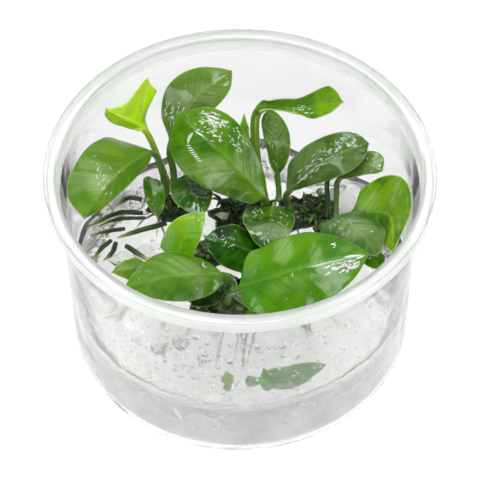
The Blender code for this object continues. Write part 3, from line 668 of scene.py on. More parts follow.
def eased(share):
    """Smooth step from 0 to 1."""
    share = min(max(share, 0.0), 1.0)
    return share * share * (3 - 2 * share)


def softened(*corners):
    """A line of (radius, height, rounding) corners with its corners rounded."""
    line = []
    for index, (radius, height, rounding) in enumerate(corners):
        if rounding == 0:
            line.append((radius, height))
            continue
        here = Vector((radius, height))
        back, ahead = (Vector(corners[index + side][:2]) - here for side in (-1, 1))
        start = here + back.normalized() * min(rounding, 0.45 * back.length)
        end = here + ahead.normalized() * min(rounding, 0.45 * ahead.length)
        for share in (0.0, 0.25, 0.5, 0.75, 1.0):
            line.append(tuple(start * (1 - share) ** 2 + here * 2 * share * (1 - share) + end * share ** 2))
    return line


def foot_arc(radius, start_degrees, end_degrees, steps):
    """Points of an arc round the middle of the foot's fillet, in the (radius, height) plane."""
    points = []
    for step in range(steps + 1):
        angle = radians(start_degrees + (end_degrees - start_degrees) * step / steps)
        points.append((FOOT_RADIUS - FOOT_FILLET + radius * cos(angle), FOOT_FILLET + radius * sin(angle)))
    return points


def capped(points, turns, top_first=False):
    """Points with the faces of a closed solid: an end point, rings of this many points and an end point."""
    last_ring = len(points) - 1 - turns
    faces = []
    for turn in range(turns):
        following = (turn + 1) % turns
        faces += [(0, 1 + following, 1 + turn), (len(points) - 1, last_ring + turn, last_ring + following)]
        faces += [(low + turn, low + following, low + turns + following, low + turns + turn)
                  for low in range(1, last_ring, turns)]
    if top_first:
        faces = [(face[0], *face[:0:-1]) for face in faces]
    return points, faces


def lathe(profile, segments, shaped):
    """Turn a profile that starts and ends on the axis into a closed solid; shaped moves each turned point."""
    points = [shaped(0.0, 0.0, profile[0][1])]
    for radius, height in profile[1:-1]:
        for turn in range(segments):
            angle = 2 * pi * turn / segments
            points.append(shaped(radius * cos(angle), radius * sin(angle), height))
    return capped(points + [shaped(0.0, 0.0, profile[-1][1])], segments)


def loft(loops):
    """Points and faces of a closed solid through loops of equally many points."""
    count = len(loops[0])
    points = [point for loop in loops for point in loop]
    faces = [tuple(range(count))[::-1]]
    for low in range(0, len(points) - count, count):
        for column in range(count):
            following = (column + 1) % count
            faces.append((low + column, low + following, low + count + following, low + count + column))
    return points, faces + [tuple(range(len(points) - count, len(points)))]


def inner_radius(height):
    """Radius of the cup's inner wall at a height above the inner fillet."""
    share = (height - FOOT_FILLET) / (NECK_HEIGHT - FOOT_FILLET)
    return FOOT_RADIUS + (NECK_RADIUS - FOOT_RADIUS) * share - WALL


def cup_profile():
    """Outline of the cup from the middle of its base, up the outside, over the rim and down the inside."""
    outline = [(0.0, 0.4), (29.0, 0.4), (29.6, 0.34), (30.1, 0.1), (30.6, 0.0)]
    outline += foot_arc(FOOT_FILLET, -90, 0, 18)
    outline += [(FOOT_RADIUS + (NECK_RADIUS - FOOT_RADIUS) * step / 8,
                 FOOT_FILLET + (NECK_HEIGHT - FOOT_FILLET) * step / 8) for step in range(1, 8)]
    outline += softened(
        (NECK_RADIUS, NECK_HEIGHT, 0), (44.05, 57.3, 1.5), (44.9, 60.8, 0.5), (SKIRT_INSIDE, 60.8, 0.4),
        (SKIRT_INSIDE, SKIRT_FOOT, 0.3), (RIM_RADIUS, SKIRT_FOOT, 0.3), (RIM_RADIUS, CUP_HEIGHT, 0.6),
        (MOUTH_RADIUS, CUP_HEIGHT, 0.7), (43.6, 57.8, 1.5), (inner_radius(NECK_HEIGHT), NECK_HEIGHT, 0))
    outline += [(inner_radius(height), height) for height in (45, 40, 35, 30, 25, 20, 15, 12)]
    outline += foot_arc(FOOT_FILLET - WALL, 0, -90, 18)
    return outline + [(29.0, 1.0), (28.4, 1.25), (27.6, BASE_TOP), (0.0, BASE_TOP)]


def cup_drift(x, y, z):
    """A thin plastic cup is never quite round: a slight shift of its wall below the rim."""
    radius = hypot(x, y)
    if z > NECK_HEIGHT or radius < 20:
        return (x, y, z)
    grown = 1 + 0.1 * wobble(x * 0.05, y * 0.05, z * 0.06) / radius
    return (x * grown, y * grown, z)


def from_line(x, y, start, end):
    """Distance in plan from a point to a stretch."""
    along_x, along_y = end[0] - start[0], end[1] - start[1]
    share = ((x - start[0]) * along_x + (y - start[1]) * along_y) / (along_x ** 2 + along_y ** 2)
    share = min(max(share, 0.0), 1.0)
    return hypot(x - start[0] - share * along_x, y - start[1] - share * along_y)


def near_roots(x, y):
    """0 far from the plants' roots and rhizomes, 1 right at them."""
    away = [from_line(x, y, start, end) - 1.0 for _, start, end, _ in RHIZOMES]
    for near, middle, tip, _ in ROOTS:
        away += [from_line(x, y, near, middle), from_line(x, y, middle, tip)]
    return eased(1.0 - min(away) / 4.5)


def gel_top(x, y):
    """Height of the gel's top: lumps, torn facets, a rise under the roots and one at the wall."""
    height = GEL_HEIGHT
    for lump_x, lump_y, rise, spread in GEL_LUMPS:
        height += rise * exp(-(hypot(x - lump_x, y - lump_y) / spread) ** 2)
    near, _ = noise.voronoi(Vector((x * 0.16, y * 0.16, 1.7)))
    height += 0.9 * (0.5 - min(near[1] - near[0], 1.0)) + 0.5 * wobble(x * 0.3, y * 0.3, 4.0)
    height += ROOT_BED_RISE * near_roots(x, y)
    wall = inner_radius(GEL_HEIGHT) - GEL_GAP
    return height + 1.1 * exp(-(wall - hypot(x, y)) / 0.9)


def on_gel(x, y, z):
    """A point of the gel's outline, lifted to the torn top where it belongs to it."""
    return (x, y, gel_top(x, y) if z >= GEL_HEIGHT else z)


def gel_profile():
    """Outline of the gel from the middle of its underside, up the wall and back in over its top."""
    outline = [(0.0, BASE_TOP + GEL_GAP), (28.0, BASE_TOP + GEL_GAP)]
    outline += foot_arc(FOOT_FILLET - WALL - GEL_GAP, -80, 0, 14)
    outline += [(inner_radius(height) - GEL_GAP, height) for height in (12, 15, 18, 21)]
    wall = inner_radius(GEL_HEIGHT) - GEL_GAP
    count = int(wall / GEL_RING_STEP)
    radii = [wall - inset for inset in (0.0, 0.1, 0.3, 0.6)]
    radii += [(wall - 1.0) * (count - step) / count for step in range(count + 1)]
    return outline + [(radius, GEL_HEIGHT) for radius in radii]


def tube(knots, radii, sides, steps, uneven, seed):
    """Points and faces of a round tube along a smooth path, its radius read between the given radii."""
    stations = smooth_points(knots, steps)
    loops = []
    side = None
    for step, centre in enumerate(stations):
        ahead = (stations[min(step + 1, steps)] - stations[max(step - 1, 0)]).normalized()
        start = ahead.orthogonal() if side is None else side
        side = (start - ahead * start.dot(ahead)).normalized()
        place = (len(radii) - 1) * step / steps
        index = min(int(place), len(radii) - 2)
        radius = radii[index] + (radii[index + 1] - radii[index]) * (place - index)
        loops.append([centre + Quaternion(ahead, 2 * pi * turn / sides) @ side * radius
                      * (1 + wobble(step * 0.35, turn * 2.0 / sides, seed) * uneven) for turn in range(sides)])
    return loft(loops)


def outline_at(outline, share):
    """Share of a half's greatest width at a share of the blade's length, read smoothly from its outline."""
    last = len(outline) - 1
    index = max(i for i in range(last) if outline[i][0] <= share)
    start, end = outline[index], outline[index + 1]
    reach = end[0] - start[0]
    place = (share - start[0]) / reach

    def slope(i):
        low, high = outline[i - 1], outline[min(i + 1, last)]
        return (high[1] - low[1]) / (high[0] - low[0])

    rise = slope(index) if index else (end[1] - start[1]) / reach
    far = place * place * (3 - 2 * place)
    leaving = place * (1 - place) ** 2 * reach * rise
    arriving = place * place * (place - 1) * reach * slope(index + 1)
    return max((1 - far) * start[1] + far * end[1] + leaving + arriving, 0.0)


def opened(station):
    """Share of the blade's length at a station, and how far its section has opened from the petiole's."""
    share = max(station / 2.0 - 1.0, 0.0)
    return share, eased(share / OPENING_SHARE)


class LeafForm:
    """A leaf's shape, from which its mesh and the places of drops on it are read.

    Stations run from 0 at the petiole's foot over 2 at the blade's base to 4 at its tip.
    """

    def __init__(self, leaf, settings, seed):
        self.leaf = leaf
        self.waviness = settings.waviness / MM
        self.half_thickness = settings.blade_thickness / MM / 2
        self.seed = seed
        base, tip = Vector(leaf.base), Vector(leaf.tip)
        self.knots = [Vector(leaf.foot), Vector(leaf.via), base, (base + tip) / 2 + Vector(leaf.bow), tip]
        self.level = (tip - base).cross(UP).normalized()

    def axes(self, station):
        """Middle of the cross-section and its directions across and up."""
        beyond = smooth_path(self.knots, min(station + SLOPE_REACH, 4.0))
        ahead = (beyond - smooth_path(self.knots, max(station - SLOPE_REACH, 0.0))).normalized()
        across = (self.level - ahead * self.level.dot(ahead)).normalized()
        return smooth_path(self.knots, station), across, across.cross(ahead)

    def stalk(self, station):
        """Radius of the petiole or the midrib at a station."""
        flare = 1.0 + 0.5 * (1.0 - eased(station / 0.5))
        return self.leaf.petiole * (1 - MIDRIB_TAPER * opened(station)[0]) * flare

    def half_curve(self, station, side, columns):
        """Middle-surface points, face directions and distances in mm out to one edge of the section."""
        half = self.leaf.left if side < 0 else self.leaf.right
        place, across, up = self.axes(station)
        across = across * side
        share, opening = opened(station)
        reach = self.stalk(station)
        if share > 0:
            reach = max(half.width * outline_at(half.outline, share), reach * (1 - share * 0.6))
        curl = (half.curl_base + (half.curl_tip - half.curl_base) * min(1.0, CURL_FADE * share)) * opening

        def turned(stop):
            return radians(half.lift * opening * eased(stop / CREASE) + curl * stop)

        curve = []
        done = 0.0
        for stop in columns:
            angle = turned(0.5 * (done + stop))
            place = place + (across * cos(angle) + up * sin(angle)) * (reach * (stop - done))
            done = stop
            facing = up * cos(turned(stop)) - across * sin(turned(stop))
            curve.append((place + facing * self.ripple(share, side, stop) * opening, facing, reach * stop,
                          reach * (1 - stop)))
        return curve

    def ripple(self, share, side, stop):
        """How far the blade waves off its smooth form."""
        edge = wobble(share * 4.2, side * 3.0, self.seed) * self.waviness * 2.0 * stop ** 2
        field = 0.25 * wobble(share * 5.0, side * stop * 2.4, self.seed + 9.0) * stop
        quilt = 0.05 * cos(44.0 * (share - 0.22 * stop)) * eased(stop / 0.2) * (1 - eased((stop - 0.7) / 0.3))
        return (edge + field + quilt) * (eased(share / 0.1) * eased((1 - share) / 0.12))

    def spot(self, share, across):
        """A point on the blade's top face and the direction the face looks in there."""
        station = 2.0 + 2.0 * share
        steps = [abs(across) * step / 8 for step in range(9)]
        place, facing, _, _ = self.half_curve(station, -1 if across < 0 else 1, steps)[-1]
        return place + facing * self.thickness(station, abs(across)), facing

    def thickness(self, station, stop, bulge=0.0):
        """Distance of a face from the middle surface; the underside bulges at its midrib."""
        opening = opened(station)[1]
        round_part = self.stalk(station) * sqrt(max(1 - stop * stop, 0.0))
        flat = self.half_thickness * (1 - 0.45 * stop ** 4) + bulge * (1 - stop ** 2)
        return round_part * (1 - opening) + flat * opening

    def mesh(self):
        """Points and faces of the whole leaf, and its stored numbers."""
        stations = [2.0 * step / PETIOLE_STEPS for step in range(PETIOLE_STEPS)]
        stations += [3.0 - cos(pi * step / BLADE_STEPS) for step in range(BLADE_STEPS)]
        loops = []
        numbers = {key: [] for key in ("along", "across", "from_rib", "from_edge", "under", "haze")}
        for station in (*stations, LAST_STATION):
            along = station / 2.0 - 1.0
            rib = 0.75 * self.stalk(station)
            top, under = [], []
            for side in (-1, 1):
                curve = list(zip(COLUMNS, self.half_curve(station, side, COLUMNS)))
                for stop, (place, facing, distance, inset) in (curve[::-1] if side < 0 else curve[1:]):
                    row = (along, side * stop, distance, inset)
                    haze = painted_sheen_at(self.leaf.name, along, side * stop)
                    top.append((place + facing * self.thickness(station, stop), *row, 0.0, haze))
                    if stop < 1.0:
                        depth = self.thickness(station, stop, rib * exp(-(distance / rib) ** 2))
                        under.append((place - facing * depth, *row, 1.0, 0.0))
            loop = top + under[::-1]
            loops.append([entry[0] for entry in loop])
            for entry in loop:
                for key, value in zip(numbers, entry[1:]):
                    numbers[key].append(value)
        return loft(loops), numbers


def painted_sheen_at(leaf, share, across):
    """Density of the painted sheen on a leaf at a share of its length and of its half's width."""
    reaches = [(hypot((share - x) / width, (across - y) / depth), density)
               for name, x, y, width, depth, density in PAINTED_SHEENS if "leaf_" + name == leaf]
    return max((density * eased((1.25 - reach) / 0.5) for reach, density in reaches), default=0.0)


def leaf_forms(settings):
    """The shape of every leaf, in the table's order."""
    return [LeafForm(leaf, settings, 1.7 * index) for index, leaf in enumerate(LEAVES)]


def dome(centre, facing, along, length, width, height, rows=4, turns=12):
    """Points and faces of a drop that sits on a surface: a flattened dome with a closed base."""
    facing = facing.normalized()
    along = (along - facing * along.dot(facing)).normalized()
    sideways = facing.cross(along)
    points = [centre + facing * height]
    for row in range(1, rows + 1):
        angle = 0.5 * pi * row / rows
        for turn in range(turns):
            bearing = 2 * pi * turn / turns
            out = along * (length * cos(bearing)) + sideways * (width * sin(bearing))
            points.append(centre + out * sin(angle) + facing * (height * cos(angle)))
    return capped(points + [centre], turns, top_first=True)


def chunk(draw, centre, width, depth, height):
    """Points and faces of a broken lump with flat facets, of these half sizes."""
    hull = bmesh.new()
    for _ in range(CHIP_CORNERS):
        out = Vector((draw.gauss(0, 1), draw.gauss(0, 1), draw.gauss(0, 1))).normalized()
        hull.verts.new((out.x * width, out.y * depth, out.z * height))
    bmesh.ops.convex_hull(hull, input=hull.verts)
    hull.verts.index_update()
    points = [Vector(centre) + vert.co for vert in hull.verts]
    faces = [tuple(vert.index for vert in face.verts) for face in hull.faces]
    hull.free()
    return points, faces


def mound_mesh(middle_x, middle_y, width, depth, rise, rows=12, turns=40):
    """Points and faces of a lumpy mound on the gel, closed below."""
    centre = Vector((middle_x, middle_y, gel_top(middle_x, middle_y)))
    points = [centre + UP * rise]
    for row in range(1, rows + 1):
        share = row / rows
        for turn in range(turns):
            bearing = 2 * pi * turn / turns
            ragged = 1 + 0.3 * wobble(cos(bearing) * 2, sin(bearing) * 2, middle_x)
            x = middle_x + width * share * ragged * cos(bearing)
            y = middle_y + depth * share * ragged * sin(bearing)
            lumps = 0.9 * wobble(x * 0.7, y * 0.7, 2.0) + 0.5 * wobble(x * 1.7, y * 1.7, 11.9)
            height = rise * sqrt(1 - share ** 2) + lumps * (1 - share ** 4) - 0.5 * share
            points.append(Vector((x, y, gel_top(x, y) + height)))
    return capped(points + [centre - UP * 2.0], turns, top_first=True)


def flat_path(spots, steps_between):
    """A smooth path through flat spots, with this many steps from spot to spot."""
    return smooth_points([Vector((*spot, 0.0)) for spot in spots], steps_between * (len(spots) - 1))


def ribbon(path, section):
    """Points and faces of a strip along a path.

    section(before, here, after, swell) gives a loop; swell is near 0 at the ends and 1 in the middle.
    """
    count = len(path)
    return loft([section(path[max(step - 1, 0)], here, path[min(step + 1, count - 1)],
                         sin(pi * (step + 0.5) / count)) for step, here in enumerate(path)])


def wet_line(form, spots, width):
    """Points and faces of a raised line of water through (share, across) spots on a leaf."""
    def section(before, here, after, swell):
        place, facing = here
        sideways = facing.cross(after[0] - before[0]).normalized()
        half = 0.5 * width * (0.25 + 0.75 * swell)
        return [place + sideways * (half * cos(angle)) + facing * (0.6 * half * sin(angle) - 0.02)
                for angle in (pi * turn / 6 for turn in range(7))]

    return ribbon([form.spot(min(max(point.x, 0.03), 0.97), min(max(point.y, -0.97), 0.97))
                   for point in flat_path(spots, 7)], section)


def wall_streak(width, spots):
    """Points and faces of a thin flat pocket between the gel and the wall."""
    def section(before, here, after, swell):
        ahead = after - before
        aside = Vector((-ahead.y, ahead.x * FOOT_RADIUS)).normalized()
        half = 0.5 * width * (0.1 + swell) * (1 + 0.5 * wobble(here.x * 30, here.y, 4.0))
        loop = []
        for angle in (pi * turn / 4 for turn in range(8)):
            bearing = here.x + aside.x * half * cos(angle) / FOOT_RADIUS
            height = here.y + aside.y * half * cos(angle)
            radius = inner_radius(height) - 0.075 + 0.045 * sin(angle)
            loop.append(Vector((radius * cos(bearing), radius * sin(bearing), height)))
        return loop

    return ribbon([Vector((radians(point.x), point.y)) for point in flat_path(spots, 10)], section)


def joined(parts):
    """Points and faces of several meshes as one."""
    points, faces = [], []
    for part_points, part_faces in parts:
        start = len(points)
        points += part_points
        faces += [tuple(start + index for index in face) for face in part_faces]
    return points, faces


class PLANTCUP_OT_cup(bpy.types.Operator):
    """Build the cup with its rim, skirt and foot ring"""
    bl_idname = "plantcup.cup"
    bl_label = "Cup"

    def execute(self, context):
        form = lathe(cup_profile(), CUP_SEGMENTS, cup_drift)
        milk, wall, mist = [], [], []
        for x, y, z in form[0]:
            skirt = hypot(x, y) > SKIRT_INSIDE + 0.3 and z < CUP_HEIGHT - 0.2
            milk.append(eased(z / 10.0) + (15.0 if skirt else 8.0 * eased((z - 57.0) / 3.0)))
            # wall: how much tint the plastic takes, none low down, less at the back, none at the front's far left
            # and right, which paints the brighter look of those sides
            sides = eased(-y / 15.0) * eased((abs(x) - 12.0) / 18.0)
            wall.append(eased((z - 16.0) / 9.0) * (1 - sides) * (0.76 + 0.24 * eased(-y / 20.0)))
            mist.append(2.2 * eased((z - 6.0) / 8.0) * eased((54.0 - z) / 6.0) * eased((12.0 - y) / 40.0))
        add_piece("cup_shell", form, plastic_finish(context.scene.plantcup_cup), "cup_plastic", "cup",
                  numbers={"milk": milk, "wall": wall, "mist": mist})
        return {"FINISHED"}


class PLANTCUP_OT_gel(bpy.types.Operator):
    """Build the bed of gel with its torn top"""
    bl_idname = "plantcup.gel"
    bl_label = "Growing gel"

    def execute(self, context):
        form = lathe(gel_profile(), GEL_SEGMENTS, on_gel)
        tint = tuple(context.scene.plantcup_cup.gel_tint)
        pits = [eased((6.0 - z) / 4.0) for _, _, z in form[0]]
        skin = [eased((hypot(x, y) - 36.0) / 3.5) * eased(-y / 25.0) * eased((23.0 - z) / 1.2)
                for x, y, z in form[0]]
        add_piece("gel_bed", form, gel_finish("growing_gel_clear", tint, 0.97, bed=True), "growing_gel", "gel",
                  numbers={"pits": pits, "skin": skin})
        return {"FINISHED"}


class PLANTCUP_OT_chips(bpy.types.Operator):
    """Lay broken lumps of gel on the bed, milky ones at the back and the left and clear ones all over"""
    bl_idname = "plantcup.chips"
    bl_label = "Gel lumps"

    def execute(self, context):
        tint = tuple(context.scene.plantcup_cup.gel_tint)
        draw = Random(3)
        milky = [chunk(draw, place, *size) for place, size in MILKY_CHIPS]
        add_piece("gel_chips_milky", joined(milky), gel_finish("growing_gel_milky", tint, 0.95, 0.12),
                  "growing_gel", smooth=False)
        clear = []
        while len(clear) < CLEAR_CHIPS:
            x, y = draw.uniform(-CHIP_REACH, CHIP_REACH), draw.uniform(-CHIP_REACH, CHIP_REACH)
            if hypot(x, y) < CHIP_REACH:
                size = draw.uniform(0.8, 2.2)
                depth = size * draw.uniform(0.6, 1)
                clear.append(chunk(draw, (x, y, gel_top(x, y)), size, depth, size * 0.5))
        add_piece("gel_chips_clear", joined(clear), gel_finish("growing_gel_chips", tint, 1.0),
                  "growing_gel", smooth=False)
        return {"FINISHED"}


class PLANTCUP_OT_tangle(bpy.types.Operator):
    """Build the dark clumps of old leaf bases, short roots and crumbs around the crowns, their near black
    painting in part the shade there
    """
    bl_idname = "plantcup.tangle"
    bl_label = "Crown tangle"

    def execute(self, context):
        draw = Random(8)
        parts, tones = [], []

        def add(part, tone):
            parts.append(part)
            tones.extend([tone] * len(part[0]))

        for mound in MOUNDS:
            middle_x, middle_y, width, depth, rise = mound
            # near-black tone: painted shade among the crowns, in part
            add(mound_mesh(*mound), 0.08)
            for _ in range(int(width * depth * CRUMBS_PER_SQUARE)):
                bearing, share = draw.uniform(0, 2 * pi), sqrt(draw.random())
                x, y = middle_x + width * share * cos(bearing), middle_y + depth * share * sin(bearing)
                start = Vector((x, y, gel_top(x, y) + rise * sqrt(1 - share ** 2) - 0.3))
                if draw.random() < CRUMB_SHARE:
                    size = draw.uniform(0.25, 0.7)
                    add(chunk(draw, start + UP * 0.4, size, size, size * 0.7), draw.uniform(0.55, 1.0))
                    continue
                out = Vector((draw.uniform(-1, 1), draw.uniform(-1, 1), draw.uniform(-0.1, 0.5)))
                knots = [start, start + out * 1.6 + UP * 0.4, start + out * draw.uniform(2.2, 4.0)]
                radius = draw.uniform(0.25, 0.6)
                part = tube(knots, [radius, radius, radius * 0.4], 8, 8, 0.3, x)
                add(part, draw.choice((0.1, 0.2, 0.3, 0.45, 0.6)))
        add(chunk(draw, (-4.3, 14.6, 27.9), 2.2, 1.4, 1.1), 1.0)
        add(chunk(draw, (2.2, 14.2, 28.0), 0.7, 0.7, 0.6), 0.97)
        add_piece("crown_tangle", joined(parts), tangle_finish(), "rhizome_skin", numbers={"tone": tones})
        return {"FINISHED"}


class PLANTCUP_OT_rhizomes(bpy.types.Operator):
    """Build the creeping stems with their ring scars"""
    bl_idname = "plantcup.rhizomes"
    bl_label = "Rhizomes"

    def execute(self, context):
        finish = rhizome_finish(context.scene.plantcup_plants.rhizome_colour)
        sides, steps = 20, 40
        for index, (name, start, end, thickness) in enumerate(RHIZOMES):
            start, end = Vector(start), Vector(end)
            radii, rings = [], []
            for step in range(steps + 1):
                share = step / steps
                ring = max(sin(share * 30.0 + index), 0.0) ** 6
                blunt = sqrt(max(1 - (2 * share - 1) ** 6, 0.04))
                radii.append(thickness * blunt * (1 + 0.09 * ring))
                rings += [ring] * sides
            form = tube([start, (start + end) / 2 + UP * 0.2, end], radii, sides, steps, 0.12, index * 3.1)
            add_piece(name + "_stem", form, finish, "rhizome_skin", name, numbers={"ring": rings})
        return {"FINISHED"}


class PLANTCUP_OT_roots(bpy.types.Operator):
    """Build the thick roots and the fine pale roots between them"""
    bl_idname = "plantcup.roots"
    bl_label = "Roots"

    def execute(self, context):
        colour = context.scene.plantcup_plants.root_colour
        finish = root_finish("root_skin_dark", colour, linear(170, 185, 60))
        sides, steps = 14, 30
        along = [step / steps for step in range(steps + 1) for _ in range(sides)]
        for index, (*knots, radius) in enumerate(ROOTS):
            name = f"root_{index + 1:02}"
            radii = [radius * share for share in (0.9, 1.0, 0.95, 0.8, 0.2)]
            form = tube([Vector(knot) for knot in knots], radii, sides, steps, 0.16, index * 2.3)
            add_piece(name + "_skin", form, finish, "root_skin", name, numbers={"along": along})
        draw = Random(11)
        parts = []
        sides, steps = 8, 16
        for _, start, end, _ in RHIZOMES:
            for _ in range(FINE_ROOTS_EACH):
                foot = Vector(start).lerp(Vector(end), draw.random()) - UP * 0.8
                bearing, reach = draw.uniform(0, 2 * pi), draw.uniform(4, 11)
                out = Vector((cos(bearing), sin(bearing), 0))
                drop = draw.uniform(3, 13)
                if (foot + out * reach).xy.length > FINE_ROOT_REACH:
                    out = -out
                knots = [foot, foot + out * reach * 0.6 - UP * (drop * 0.4), foot + out * reach - UP * drop]
                parts.append(tube(knots, [0.3, 0.26, 0.22, 0.08], sides, steps, 0.2, reach))
        along = [step / steps for step in range(steps + 1) for _ in range(sides)] * len(parts)
        pale = root_finish("fine_root_skin", linear(150, 150, 110), linear(225, 228, 200))
        add_piece("fine_roots", joined(parts), pale, "root_skin", numbers={"along": along})
        return {"FINISHED"}


class PLANTCUP_OT_leaves(bpy.types.Operator):
    """Build every leaf, from its petiole's foot to its tip"""
    bl_idname = "plantcup.leaves"
    bl_label = "Leaves"

    def execute(self, context):
        settings = context.scene.plantcup_plants
        for form in leaf_forms(settings):
            name = form.leaf.name
            mesh, numbers = form.mesh()
            slot = "leaf_yellow_green" if name in YOUNG_LEAVES else "leaf_green"
            add_piece(name + "_blade", mesh, leaf_finish(form.leaf, settings.wetness), slot, name,
                      numbers=numbers)
        return {"FINISHED"}


class PLANTCUP_OT_leaf_water(bpy.types.Operator):
    """Scatter dashes and small drops of water over the leaves"""
    bl_idname = "plantcup.leaf_water"
    bl_label = "Water on the leaves"

    def execute(self, context):
        draw = Random(5)
        forms = {form.leaf.name: form for form in leaf_forms(context.scene.plantcup_plants)}
        lines = [wet_line(forms["leaf_" + leaf], spots, width) for leaf, width, spots in WET_LINES]
        for step in range(MIDDLE_DASHES):
            share, across = 0.77 - 0.023 * step, -0.5 - 0.01 * step
            spots = ((share, across), (share - 0.03, across + 0.1))
            lines.append(wet_line(forms["leaf_middle"], spots, 0.42))
        for leaf, middle, middle_across, spread, spread_across, count, width in SPECKLES:
            for _ in range(2 * count):
                share = middle + spread * draw.uniform(-1, 1)
                across = middle_across + spread_across * draw.uniform(-1, 1)
                bearing, reach = draw.uniform(0, pi), draw.uniform(0.006, 0.03)
                bend = draw.uniform(-0.02, 0.02)
                step, aside = reach * cos(bearing), 2.2 * reach * sin(bearing)
                spots = ((share, across), (share + step, across + aside),
                         (share + 2 * step + bend, across + 2 * aside - bend))
                lines.append(wet_line(forms["leaf_" + leaf], spots, width * draw.uniform(0.6, 1.4)))
        # half white: the water lines paint the glint of light on the leaves' wet film
        add_piece("water_lines", joined(lines), water_finish("bubbly_water", 0.5), "growing_gel")
        drops = []
        for form in forms.values():
            for _ in range(int((form.leaf.left.width + form.leaf.right.width) * 0.5)):
                place, facing = form.spot(draw.uniform(0.15, 0.92), draw.uniform(-0.9, 0.9))
                bearing = Vector((draw.uniform(-1, 1), draw.uniform(-1, 1), 0.2))
                size = draw.uniform(0.12, 0.34)
                drops.append(dome(place, facing, bearing, size * draw.uniform(1, 2), size, size * 0.5))
        add_piece("water_on_leaves", joined(drops), water_finish("clear_water", 1.0), "growing_gel")
        return {"FINISHED"}


class PLANTCUP_OT_wall_water(bpy.types.Operator):
    """Hang drops of water on the inner wall at the front, and trap air between the wall and the gel"""
    bl_idname = "plantcup.wall_water"
    bl_label = "Water on the wall"

    def execute(self, context):
        draw = Random(23)
        spots = list(WALL_DROPS)
        for _ in range(context.scene.plantcup_cup.wall_drops):
            place = (draw.uniform(*WET_BEARINGS), draw.uniform(*WET_HEIGHTS))
            spots.append((*place, 0.13 + 0.4 * draw.random() ** 4))
        drops = []
        for bearing, height, size in spots:
            out = Vector((cos(radians(bearing)), sin(radians(bearing)), 0))
            place = out * (inner_radius(height) - 0.12) + UP * height
            drops.append(dome(place, -out, UP, size * draw.uniform(1.0, 1.2), size, size * 0.75, 5, 14))
        streaks = [wall_streak(*streak) for streak in STREAKS]
        # solid white: the air pockets paint the bright shine that air under the wall gives
        add_piece("air_streaks", joined(streaks), water_finish("trapped_air", 0.0), "growing_gel")
        add_piece("water_on_wall", joined(drops), water_finish("wall_water", 1.0), "growing_gel")
        return {"FINISHED"}


def aim_at(item, place, aim):
    """Put a light or a camera at its place and turn it towards its aim."""
    item.location = place
    item.rotation_euler = (Vector(aim) - Vector(place)).to_track_quat("-Z", "Y").to_euler()


def add_softbox(name, place, width, height, glow):
    """An area light of this size in metres whose face shines with this brightness."""
    light = bpy.data.lights.new(name, "AREA")
    light.shape = "RECTANGLE"
    light.size, light.size_y = width, height
    light.energy = pi * width * height * glow
    aim_at(add_object(name, light), place, (0.0, 0.0, 0.03))


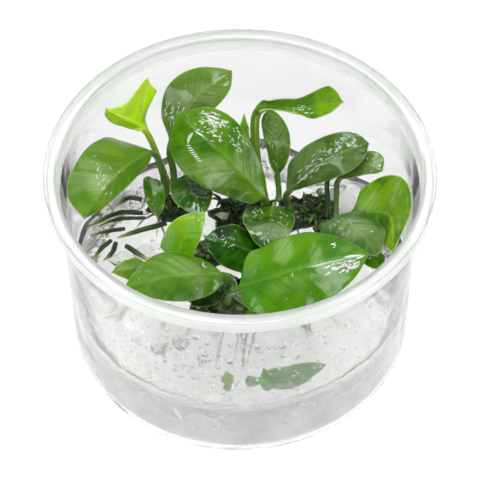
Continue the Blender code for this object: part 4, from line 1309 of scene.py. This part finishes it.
class PLANTCUP_OT_stage(bpy.types.Operator):
    """Lay the floor and place the lights and the camera"""
    bl_idname = "plantcup.stage"
    bl_label = "Stage"

    def execute(self, context):
        settings = context.scene.plantcup_stage
        scene = context.scene
        line = [FLOOR_REACH * (2 * step / FLOOR_STEPS - 1) for step in range(FLOOR_STEPS + 1)]
        points = [(x, y, FLOOR_HEIGHT) for y in line for x in line]
        count = len(line)
        faces = [(low, low + 1, low + 1 + count, low + count)
                 for low in range(len(points) - count) if low % count < FLOOR_STEPS]
        add_mesh("floor", (points, faces), floor_finish(settings.floor_colour))
        add_softbox("key", (-0.14, 0.30, 0.95), 0.40, 0.34, settings.key_glow)
        add_softbox("overhead", (0.1, -0.1, 1.2), 0.7, 0.6, 5.0)
        add_softbox("left_front", (-0.75, -0.75, 0.55), 0.6, 0.6, 3.5)
        add_softbox("right", (1.0, -0.1, 0.45), 0.5, 0.6, 3.5)
        add_softbox("front", (0.0, -1.1, 0.35), 1.0, 0.5, 2.5)
        add_softbox("back", (0.0, 0.95, 0.95), 1.4, 0.8, 1.1)
        scene.world = bpy.data.worlds.new("surroundings")
        scene.world.use_nodes = True
        sky = scene.world.node_tree.nodes["Background"]
        sky.inputs["Color"].default_value = (0.96, 0.98, 1.0, 1.0)
        sky.inputs["Strength"].default_value = settings.sky_glow
        scene.view_settings.view_transform = "Standard"
        camera = add_object("camera", bpy.data.cameras.new("camera"))
        camera.data.lens = CAMERA_LENS
        camera.data.sensor_width = 36.0
        aim_at(camera, Vector(CAMERA_PLACE) * MM, Vector(CAMERA_AIM) * MM)
        scene.camera = camera
        return {"FINISHED"}


PIECES = (PLANTCUP_OT_stage, PLANTCUP_OT_cup, PLANTCUP_OT_gel, PLANTCUP_OT_chips,
          PLANTCUP_OT_tangle, PLANTCUP_OT_rhizomes, PLANTCUP_OT_roots,
          PLANTCUP_OT_leaves, PLANTCUP_OT_leaf_water, PLANTCUP_OT_wall_water)


class PLANTCUP_PT_panel(bpy.types.Panel):
    """Lists the pieces and their settings."""
    bl_idname = "PLANTCUP_PT_panel"
    bl_label = "Anubias plantlets"
    bl_space_type = "VIEW_3D"
    bl_region_type = "UI"
    bl_category = "Plant cup"

    def draw(self, context):
        for group in SETTINGS:
            settings = getattr(context.scene, group)
            box = self.layout.box()
            for key in settings.__annotations__:
                box.prop(settings, key)
        for piece in PIECES:
            self.layout.operator(piece.bl_idname)


SETTINGS = {"plantcup_cup": CupSettings, "plantcup_plants": PlantSettings, "plantcup_stage": StageSettings}


def register():
    """Register the settings, the operators and the panel."""
    for kind in (*SETTINGS.values(), *PIECES, PLANTCUP_PT_panel):
        bpy.utils.register_class(kind)
    for key, kind in SETTINGS.items():
        setattr(bpy.types.Scene, key, PointerProperty(type=kind))


def unregister():
    """Take them away again."""
    for key in SETTINGS:
        delattr(bpy.types.Scene, key)
    for kind in (PLANTCUP_PT_panel, *PIECES[::-1], *SETTINGS.values()):
        bpy.utils.unregister_class(kind)


def main():
    """Build the stage and every piece."""
    register()
    for piece in PIECES:
        family, name = piece.bl_idname.split(".")
        getattr(getattr(bpy.ops, family), name)()
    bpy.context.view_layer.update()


if __name__ == "__main__":
    main()
